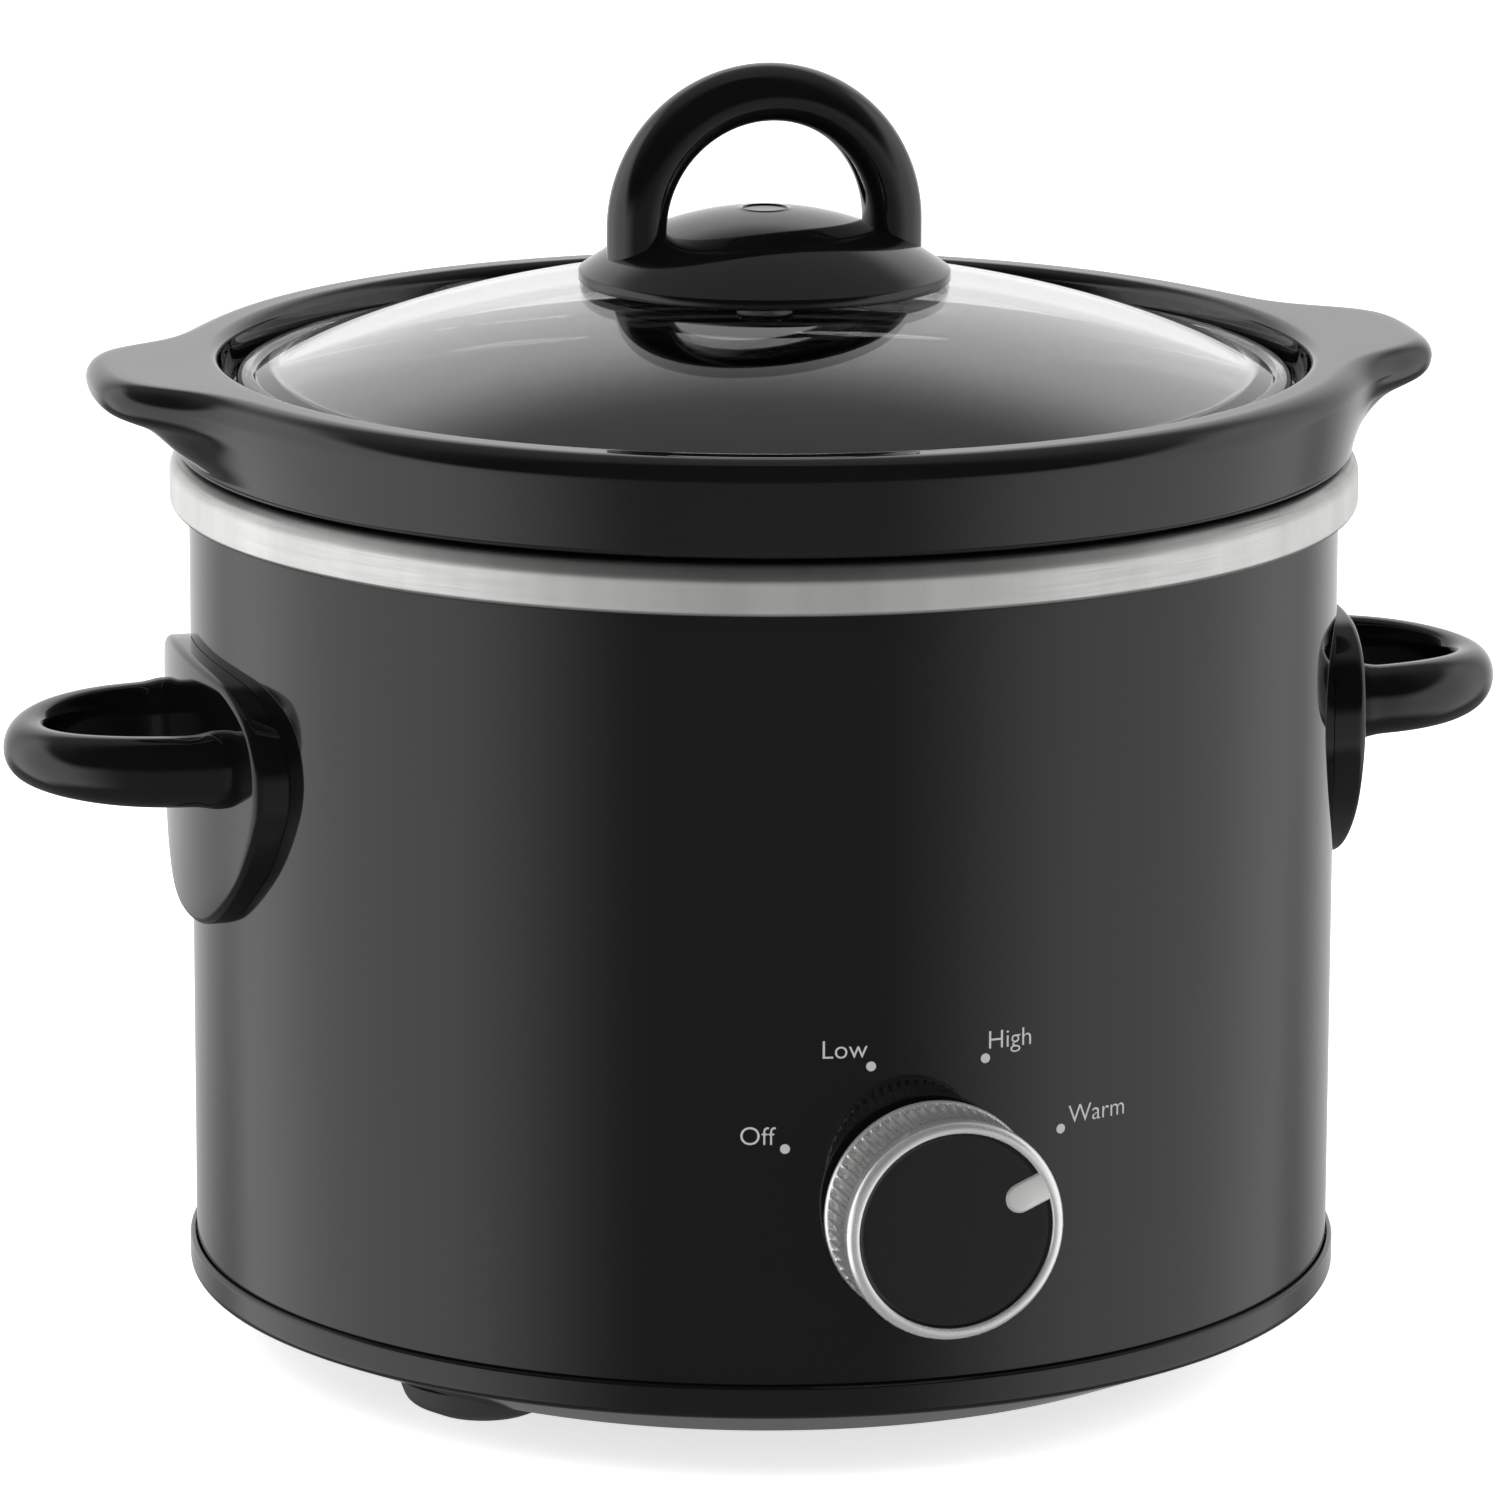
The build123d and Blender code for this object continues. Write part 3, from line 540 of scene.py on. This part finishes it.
def make_side_handles():
    """A plate and a loop at each side."""
    for name, side in (("right", 1), ("left", -1)):
        plate, loop = handle_plate(side), handle_loop(side)
        show(f"{name}_plate", plate, "base", "gloss_black_plastic", gloss_plastic, f"{name}_handle")
        show(f"{name}_loop", loop, "base", "gloss_black_plastic", gloss_plastic)


# ---------------------------------------------------------------- knob and its markings
def make_knob():
    """The knob's ring, turned from an outline with ribs cut into it, its disc and its pointer."""
    ribs, per_rib, groove = 60, 10, 0.85
    face = KNOB_FRONT - 1.8
    outline = [  # distance in front of the axis, radius, how deep the ribs are cut there
        (KNOB_REAR, 15.8, 0), (KNOB_REAR, KNOB_R - 0.3, 0), (KNOB_REAR + 0.3, KNOB_R, 0), (98.4, KNOB_R, 0),
        (98.7, KNOB_R - 0.25, 0), (98.8, KNOB_R - 0.3, 0), (98.9, KNOB_R - 0.3, 1), (99.4, KNOB_R - 0.3, 1),
        (107.7, KNOB_R - 0.3, 1), (108.2, KNOB_R - 0.3, 1), (108.3, KNOB_R - 0.3, 0),
        (108.4, KNOB_R - 0.25, 0),
        (108.6, KNOB_R, 0), (109.0, KNOB_R, 0), (110.4, KNOB_R, 0), (110.8, KNOB_R - 0.05, 0),
        (111.3, KNOB_R - 0.35, 0), (KNOB_FRONT, KNOB_R - 0.75, 0), (KNOB_FRONT, BEZEL_R + 0.2, 0),
        (KNOB_FRONT - 0.1, BEZEL_R + 0.02, 0), (face, BEZEL_R, 0), (face, 15.0, 0), (108.0, 15.0, 0),
    ]
    rows = []
    for i in range(ribs * per_rib):
        angle = 2 * math.pi * i / (ribs * per_rib)
        cut = groove * (0.5 - 0.5 * math.cos(ribs * angle))
        row = []
        for forward, radius, depth in outline:
            r = radius - cut * depth
            row.append((r * math.sin(angle), -forward, KNOB_Z + r * math.cos(angle)))
        rows.append(row)
    show("knob_bezel", shell("knob_bezel", rows, sharp=62), "knob", "knob_silver", silver, "knob_ring")

    disc = [Vector((0, -(KNOB_FRONT - 0.45))), *(
        Vector((r, -(KNOB_FRONT - 0.45) + 0.00035 * r**2)) for r in (3, 6, 9, 12, 14, 15.2)
    )]
    edge = BEZEL_R - 0.04
    disc += rounded([(15.6, disc[-1].y + 0.02, 0), (edge, -(KNOB_FRONT - 0.35), 0.15),
                     (edge, -109.7, 0.1), (0, -109.7, 0)], closed=False)
    mesh = turned("knob_face", disc, 160, "Y", (0, 0, KNOB_Z))
    show("knob_face", mesh, "knob", "gloss_black_plastic", gloss_plastic, "knob_disc")
    show("knob_pointer", pointer_mesh(), "knob", "knob_silver", silver)


def pointer_mesh():
    """Round-ended tab from the bezel inwards, at 66 degrees clockwise from the top."""
    width, tip, root = 2.4, 11.5, BEZEL_R + 0.6
    turn = 66 * DEGREE
    outline = [(width, root), (-width, root)]
    outline += [
        (-width * math.cos(math.pi * k / 16), tip - width * math.sin(math.pi * k / 16)) for k in range(17)
    ]
    centre = (0, (tip + root) / 2)
    rows = []
    for u, v in outline:
        row = []
        for shrink, forward in (
            (0.0, 110.9), (1.0, 110.9), (1.0, 111.35), (0.93, 111.52), (0.86, 111.56), (0.0, 111.56),
        ):
            a, b = (
                centre[0] + (u - centre[0]) * shrink,
                centre[1] + (v - centre[1]) * (shrink if v < root else 1.0),
            )
            x, z = a * math.cos(turn) + b * math.sin(turn), -a * math.sin(turn) + b * math.cos(turn)
            row.append((x, -forward, KNOB_Z + z))
        rows.append(row)
    return shell("pointer", rows, closed_rows=False, sharp=40)


def wrapped(name, flat, lift=0.03):
    """Wraps a flat mesh, drawn in mm with x along the drum and y up, on to the drum's front."""
    made = bmesh.new()
    made.from_mesh(flat)
    bmesh.ops.triangulate(made, faces=made.faces)
    long_edges = [e for e in made.edges if e.calc_length() > 1.2]
    bmesh.ops.subdivide_edges(made, edges=long_edges, cuts=2)
    for vertex in made.verts:
        x, y, z = vertex.co
        r = DRUM_R + lift + z
        angle = x / DRUM_R
        vertex.co = (r * math.sin(angle) * MM, -r * math.cos(angle) * MM, y * MM)
    mesh = bpy.data.meshes.new(name)
    made.to_mesh(mesh)
    made.free()
    return mesh


SETTING_STEP = 44 * DEGREE
DOT_CIRCLE, DOT_R = 25.4, 0.8
LABEL_RADIUS = 27.0  # the words stand just outside the dots
LABEL_SIZE = 4.3


def label_mesh(words, angle):
    """Flat letters as a thin film of ink. The end of the word that is nearer the knob stands on a circle."""
    curve = bpy.data.curves.new(f"label_{words}", "FONT")
    curve.body = words
    curve.size = LABEL_SIZE
    curve.extrude = 0.02
    curve.resolution_u = 6
    curve.offset = -0.035
    carrier = bpy.data.objects.new(f"label_{words}", curve)
    bpy.context.scene.collection.objects.link(carrier)
    bpy.context.view_layer.update()
    mesh = bpy.data.meshes.new_from_object(carrier.evaluated_get(bpy.context.evaluated_depsgraph_get()))
    bpy.data.objects.remove(carrier)
    bpy.data.curves.remove(curve)
    xs = [v.co.x for v in mesh.vertices]
    near_end = max(xs) if angle < 0 else min(xs)
    for v in mesh.vertices:
        v.co.x += LABEL_RADIUS * math.sin(angle) - near_end
        v.co.y += KNOB_Z + LABEL_RADIUS * math.cos(angle)
    return mesh


def make_markings():
    """Four dots round the knob, evenly spaced, each with its setting's name."""
    for place, words in enumerate(("Off", "Low", "High", "Warm")):
        angle = (place - 1.5) * SETTING_STEP
        flat = label_mesh(words, angle)
        show(f"print_{words.lower()}", wrapped(f"print_{words}", flat), "base", "knob_silver", print_ink)
        x, z = DOT_CIRCLE * math.sin(angle), KNOB_Z + DOT_CIRCLE * math.cos(angle)
        made = bmesh.new()
        bmesh.ops.create_cone(made, cap_ends=True, segments=28, radius1=DOT_R, radius2=DOT_R, depth=0.04,
                              matrix=Matrix.Translation((x, z, 0)))
        flat = bpy.data.meshes.new("dot")
        made.to_mesh(flat)
        made.free()
        show(f"dot_{words.lower()}", wrapped(f"dot_{words}", flat), "base", "knob_silver", print_ink)


# ---------------------------------------------------------------- pot
POT_TURN = -4.7 * DEGREE
LUG_HALF_ANGLE = 12.3 * DEGREE
LUG_POWER = 5
FLANGE_TOP_R, FLANGE_LOW_R = 99.3, 98.2
RECESS_R = 89.6
LEDGE_Z = LID_LOW - 0.3
FLANGE_LOW = RIM_TOP + 0.4
# The lug's underside from its tip back to the flange: share of its reach, and height.
LUG_UNDERSIDE = [
    (1.0, 166.5), (0.97, 165.0), (0.89, 163.8), (0.76, 162.9), (0.60, 162.0), (0.46, 160.9), (0.33, 159.4),
    (0.20, 157.6), (0.10, 156.4), (0.0, 155.2),
]


def open_spline(points, steps):
    """A smooth line through points (Catmull-Rom), from the first to the last."""
    padded = [Vector(points[0]) * 2 - Vector(points[1]), *map(Vector, points)]
    padded.append(Vector(points[-1]) * 2 - Vector(points[-2]))
    line = []
    for i in range(len(points) - 1):
        line += [between_knots(padded[i:i + 4], k / steps) for k in range(steps)]
    return [*line, Vector(points[-1])]


UNDERSIDE = open_spline(LUG_UNDERSIDE, 3)[1:]


def lug_share(angle):
    """How much of a lug there is in this direction: 1 along its middle, 0 away from it."""
    off = abs((angle - POT_TURN + math.pi / 2) % math.pi - math.pi / 2)
    return 1 / (1 + (off / LUG_HALF_ANGLE) ** LUG_POWER)


def pot_row(share):
    """The pot's section in a direction with this share of a lug, from the bowl's middle to its foot."""
    top = 3.8 - 0.6 * share
    lip = POT_TOP + 0.4 * share
    reach = FLANGE_TOP_R + (LUG_REACH - FLANGE_TOP_R) * share
    row = rounded([
        (0, 72, 0), (78, 72, 14), (82, LEDGE_Z - 3.0, 3.0), (85.2, LEDGE_Z, 1.6),
        (RECESS_R, LEDGE_Z, 1.2), (91.0, POT_TOP, 1.9), (95.0, POT_TOP, 0),
    ], closed=False)[:-3]
    centre = Vector((reach - top, lip - top))
    flat_end = centre + Vector((0, top))
    start = row[-1]
    for k in (0.15, 0.4, 0.65, 0.88):
        row.append(start.lerp(flat_end, k))
    for k in range(11):
        turn = math.pi / 2 * (1 - k / 10)
        row.append(centre + Vector((math.cos(turn), math.sin(turn))) * top)
    lugness = min(1.0, 3 * share)
    count = len(UNDERSIDE)
    for k, (out, z) in enumerate(UNDERSIDE):
        lug = Vector((FLANGE_LOW_R + (reach - FLANGE_LOW_R) * out, z))
        down = (k + 1) / count
        wall = Vector((reach + (FLANGE_LOW_R - reach) * down, POT_TOP - 3.8 - 10.5 * down))
        row.append(wall.lerp(lug, lugness))
    low = FLANGE_LOW
    row += rounded([
        (FLANGE_LOW_R, low + 1.6, 0), (FLANGE_LOW_R, low, 1.4), (88.6, low, 0.8), (84.0, POT_LOW, 15),
        (79.5, POT_LOW, 0.6), (77.5, POT_LOW + 1.2, 0.8), (0, POT_LOW + 1.2, 0),
    ], closed=False)[1:]
    return row


def make_pot():
    """The pot, as sections round its axis."""
    around = 432
    rows = []
    for i in range(around):
        angle = 2 * math.pi * i / around
        c, s = math.cos(angle), math.sin(angle)
        rows.append([(p.x * c, p.x * s, p.y) for p in pot_row(lug_share(angle))])
    mesh = shell("glazed_pot", rows, closed_rows=False, sharp=70)
    show("glazed_pot", mesh, "pot", "black_glaze", glaze, "stoneware_pot")


# ---------------------------------------------------------------- lid
def make_lid():
    """One piece of clear pressed glass: shallow dome, thick rounded edge."""
    sphere, thick, hole = 221.0, 3.4, 4.2
    edge = LID_R - 3.3
    outline = dome(hole, edge, sphere, LID_CROWN)
    top = outline[-1].y + 0.35
    outline += rounded([
        (edge + 0.2, top - 0.2, 0), (edge + 0.7, top + 0.1, 0.3), (LID_R, top - 0.2, 1.5),
        (LID_R, LID_LOW, 1.6), (LID_R - 4.4, LID_LOW, 1.4), (edge - 1.6, LID_LOW + 1.0, 0),
    ], closed=False)
    outline += dome(edge - 2.0, hole, sphere - thick, LID_CROWN - thick)
    show("lid_pane", turned("lid_pane", outline), "lid", "clear_glass", glass, "glass_lid")


def make_lid_seat():
    """Thin cupped washer under the glass, with a boss for the screw's head."""
    top = SEAT_TOP
    outline = rounded([
        (2.6, SEAT_LOW, 0), (6.6, SEAT_LOW, 0.4), (7.4, top - 1.7, 0.6), (SEAT_R - 0.6, top - 1.5, 0.4),
        (SEAT_R, top - 0.7, 0.3), (SEAT_R, top, 0.2), (2.6, top, 0),
    ])
    show(
        "lid_washer", turned("lid_washer", outline, 160), "lid",
        "gloss_black_plastic", gloss_plastic, "lid_seat",
    )


def make_lid_handle():
    """The handle's disc and the arch that stands on it."""
    edge_top, crown = 182.9, 193.2
    rise = crown - edge_top
    sphere = ((DISC_R - 0.2) ** 2 + rise**2) / (2 * rise)
    skin = 2.5
    top = dome(3.9, DISC_R - 0.25, sphere, crown)
    under = dome(DISC_R - 2.6, 8.0, sphere - skin, crown - skin)
    outline = [Vector((0, crown - 0.30)), Vector((3.3, crown - 0.30)), Vector((3.6, crown - 0.27)),
               Vector((3.72, crown - 0.12)), Vector((3.78, crown - 0.05))]
    outline += top
    outline += rounded([
        (DISC_R - 0.1, edge_top - 0.05, 0), (DISC_R, edge_top - 0.25, 0), (DISC_R, DISC_LOW, 0.35),
        (DISC_R - 2.4, DISC_LOW, 0.3), (DISC_R - 2.5, DISC_LOW + 0.9, 0),
    ], closed=False)
    outline += under
    outline += rounded([
        (8.0, 190.6, 0), (8.0, 183.9, 0.3), (2.05, 183.9, 0.2), (2.05, 190.6, 0), (0, 190.6, 0),
    ], closed=False)
    mesh = turned("handle_disc", outline, 200, sharp=42)
    show("handle_disc", mesh, "lid", "gloss_black_plastic", gloss_plastic, "lid_handle")

    outer, inner, half = 5.4, 4.0, 6.0
    half_width = 27.0
    middle = half_width - outer
    level = ARCH_TOP - half_width
    foot = 184.6
    path, sections = [], []
    stations = [(Vector((middle, 0, foot + (level - foot) * k / 6)), Vector((1, 0, 0))) for k in range(6)]
    bends = 64
    for k in range(bends + 1):
        angle = math.pi * k / bends
        outward = Vector((math.cos(angle), 0, math.sin(angle)))
        stations.append((outward * middle + Vector((0, 0, level)), outward))
    stations += [
        (Vector((-middle, 0, level - (level - foot) * (k + 1) / 6)), Vector((-1, 0, 0))) for k in range(6)
    ]
    for place, outward in stations:
        path.append((place, outward, Vector((0, 1, 0))))
        sections.append(d_section(outer, inner, half))
    show("handle_arch", swept("handle_arch", path, sections), "lid", "gloss_black_plastic", gloss_plastic)


# ---------------------------------------------------------------- studio
CAMERA_TURN = -16 * DEGREE  # the camera stands this far round from the front, towards -X
CAMERA_DISTANCE = 1.422
CAMERA_HEIGHT = 0.4292
CAMERA_SIDE = -0.00216
CAMERA_PITCH = 13.01 * DEGREE
CAMERA_ROLL = 0.19 * DEGREE
CAMERA_LENS = 208.0

# What the gloss reflects is a plain studio: a dim room, a soft panel at each side and a pale wall behind the
# object. Azimuths are from the camera, in degrees, with right positive. Each panel has its middle, the half
# width of its bright part, the width of its soft edge and its level.
ROOM_LEVEL = 0.2
PANELS = [(-90, 20, 50, 1.2), (90, 20, 50, 0.9), (180, 20, 30, 0.8)]
SIDE_START, SIDE_END = 50, 120  # the panels grow taller between these azimuths, either way
PANEL_TOP_FRONT, PANEL_TOP_BACK = 2, 38  # elevations that they reach, in degrees
OVERHEAD_FRONT, OVERHEAD_BACK = 0.01, 0.3
GROUND_FRONT, GROUND_BACK = 40, 16  # how far below the horizon the dim ground begins, in degrees
GROUND_LEVEL = 0.2
EDGE_SOFTNESS = 8  # degrees either way, above and below the panels


class Sums:
    """Writes sums as shader nodes, with angles in degrees."""

    def __init__(self, tree):
        self.nodes, self.links = tree.nodes, tree.links

    def put(self, value, socket):
        """Sets a socket, to a number or to another node's result."""
        if isinstance(value, (int, float)):
            socket.default_value = value
        else:
            self.links.new(value, socket)

    def do(self, kind, first, second=0.0):
        """The result of one sum."""
        node = self.nodes.new("ShaderNodeMath")
        node.operation = kind
        self.put(first, node.inputs[0])
        self.put(second, node.inputs[1])
        return node.outputs["Value"]

    def fade(self, value, start, end, low=0.0, high=1.0):
        """Goes smoothly from low at start to high at end."""
        node = self.nodes.new("ShaderNodeMapRange")
        node.interpolation_type = "SMOOTHSTEP"
        for socket, given in zip(node.inputs, (value, start, end, low, high)):
            self.put(given, socket)
        return node.outputs["Result"]

    def blend(self, factor, first, second):
        """Mixes two values, the first where the factor is 0 and the second where it is 1."""
        change = self.do("MULTIPLY", factor, self.do("SUBTRACT", second, first))
        return self.do("ADD", first, change)


def panel_share(sums, azimuth, middle, half, soft):
    """1 within a panel's bright part, and 0 past its soft edge."""
    off = sums.do("RADIANS", sums.do("SUBTRACT", azimuth, middle))
    apart = sums.do("DEGREES", sums.do("ARCCOSINE", sums.do("COSINE", off)))
    return sums.do("SUBTRACT", 1.0, sums.fade(apart, half, half + soft))


def studio_level(sums, split):
    """How bright the studio is in a direction, given as its separate X, Y and Z."""
    toward = sums.do("MULTIPLY", split.outputs["Y"], -1.0)
    azimuth = sums.do("DEGREES", sums.do("ARCTAN2", split.outputs["X"], toward))
    elevation = sums.do("DEGREES", sums.do("ARCSINE", split.outputs["Z"]))
    aside = sums.do("ABSOLUTE", azimuth)
    level = ROOM_LEVEL
    for middle, half, soft, strength in PANELS:
        level = sums.do("ADD", level, sums.do(
            "MULTIPLY", panel_share(sums, azimuth, middle, half, soft), strength,
        ))
    top = sums.fade(aside, SIDE_START, SIDE_END, PANEL_TOP_FRONT, PANEL_TOP_BACK)
    overhead = sums.fade(aside, SIDE_START, SIDE_END, OVERHEAD_FRONT, OVERHEAD_BACK)
    ground = sums.fade(aside, SIDE_END - 20, SIDE_END + 20, GROUND_FRONT, GROUND_BACK)
    above = sums.fade(sums.do("SUBTRACT", elevation, top), -EDGE_SOFTNESS, EDGE_SOFTNESS)
    depth = sums.do("MULTIPLY", elevation, -1.0)
    below = sums.fade(sums.do("SUBTRACT", depth, ground), -EDGE_SOFTNESS, EDGE_SOFTNESS)
    return sums.blend(below, sums.blend(above, level, overhead), GROUND_LEVEL)


def make_world():
    """The studio for reflections, and even white light for everything else."""
    world = bpy.data.worlds.new("studio")
    bpy.context.scene.world = world
    world.use_nodes = True
    nodes, links = world.node_tree.nodes, world.node_tree.links
    nodes.clear()
    place = nodes.new("ShaderNodeTexCoord")
    turn = nodes.new("ShaderNodeVectorRotate")
    turn.rotation_type = "Z_AXIS"
    turn.inputs["Angle"].default_value = -CAMERA_TURN
    links.new(place.outputs["Generated"], turn.inputs["Vector"])
    split = nodes.new("ShaderNodeSeparateXYZ")
    links.new(turn.outputs["Vector"], split.inputs["Vector"])
    glossy = nodes.new("ShaderNodeBackground")
    glossy.inputs["Color"].default_value = (1, 1, 1, 1)
    links.new(studio_level(Sums(world.node_tree), split), glossy.inputs["Strength"])
    even = nodes.new("ShaderNodeBackground")
    even.inputs["Color"].default_value = (1, 1, 1, 1)
    path = nodes.new("ShaderNodeLightPath")
    mix = nodes.new("ShaderNodeMixShader")
    links.new(path.outputs["Is Glossy Ray"], mix.inputs["Fac"])
    links.new(even.outputs["Background"], mix.inputs[1])
    links.new(glossy.outputs["Background"], mix.inputs[2])
    out = nodes.new("ShaderNodeOutputWorld")
    links.new(mix.outputs["Shader"], out.inputs["Surface"])


def make_light(name, place, target, size, energy):
    """A round area light that aims at a point and isn't seen in the gloss."""
    data = bpy.data.lights.new(name, "AREA")
    data.shape, data.size, data.energy = "DISK", size, energy
    lamp = bpy.data.objects.new(name, data)
    bpy.context.scene.collection.objects.link(lamp)
    lamp.location = place
    lamp.rotation_euler = (Vector(target) - Vector(place)).to_track_quat("-Z", "Y").to_euler()
    lamp.visible_glossy = False
    return lamp


def make_floor():
    """A pale floor that glows, kept out of reflections."""
    made = bmesh.new()
    bmesh.ops.create_circle(made, cap_ends=True, segments=96, radius=6.0)
    mesh = bpy.data.meshes.new("floor")
    made.to_mesh(mesh)
    made.free()
    floor = bpy.data.objects.new("floor", mesh)
    bpy.context.scene.collection.objects.link(floor)
    material, bsdf = shader("floor_white", Roughness=0.9)
    tint(material, noise(material, 2.0), (0.92, 0.92, 0.92), (0.94, 0.94, 0.94), bsdf.inputs["Base Color"])
    bsdf.inputs["Emission Color"].default_value = (1, 1, 1, 1)
    bsdf.inputs["Emission Strength"].default_value = 0.70
    mesh.materials.append(material)
    floor.location.z = -0.0002
    floor.visible_glossy = False


def make_camera():
    """The camera, turned round from the front, tilted down and rolled a little."""
    data = bpy.data.cameras.new("camera")
    data.sensor_width, data.lens = 36.0, CAMERA_LENS
    data.clip_start, data.clip_end = 0.05, 50.0
    camera = bpy.data.objects.new("camera", data)
    bpy.context.scene.collection.objects.link(camera)
    heading = Matrix.Rotation(CAMERA_TURN, 4, "Z")
    tilt = Matrix.Rotation(math.pi / 2 - CAMERA_PITCH, 4, "X")
    roll = Matrix.Rotation(CAMERA_ROLL, 4, "Z")
    place = heading @ Vector((CAMERA_SIDE, -CAMERA_DISTANCE, CAMERA_HEIGHT))
    camera.matrix_world = Matrix.Translation(place) @ heading @ tilt @ roll
    bpy.context.scene.camera = camera


finish_cad_nodes()
make_drum()
make_rim()
make_base()
make_feet()
make_gland()
make_side_handles()
make_knob()
make_markings()
make_pot()
make_lid()
make_lid_seat()
make_lid_handle()
make_world()
make_light("key", (-1.1, -1.0, 1.6), (0, 0, 0.1), 1.2, 22.0)
make_light("fill", (1.3, -0.9, 1.3), (0, 0, 0.1), 1.2, 14.0)
make_floor()
make_camera()
bpy.context.scene.view_settings.view_transform = "Standard"
bpy.context.scene.view_settings.look = "None"

bpy.context.view_layer.update()
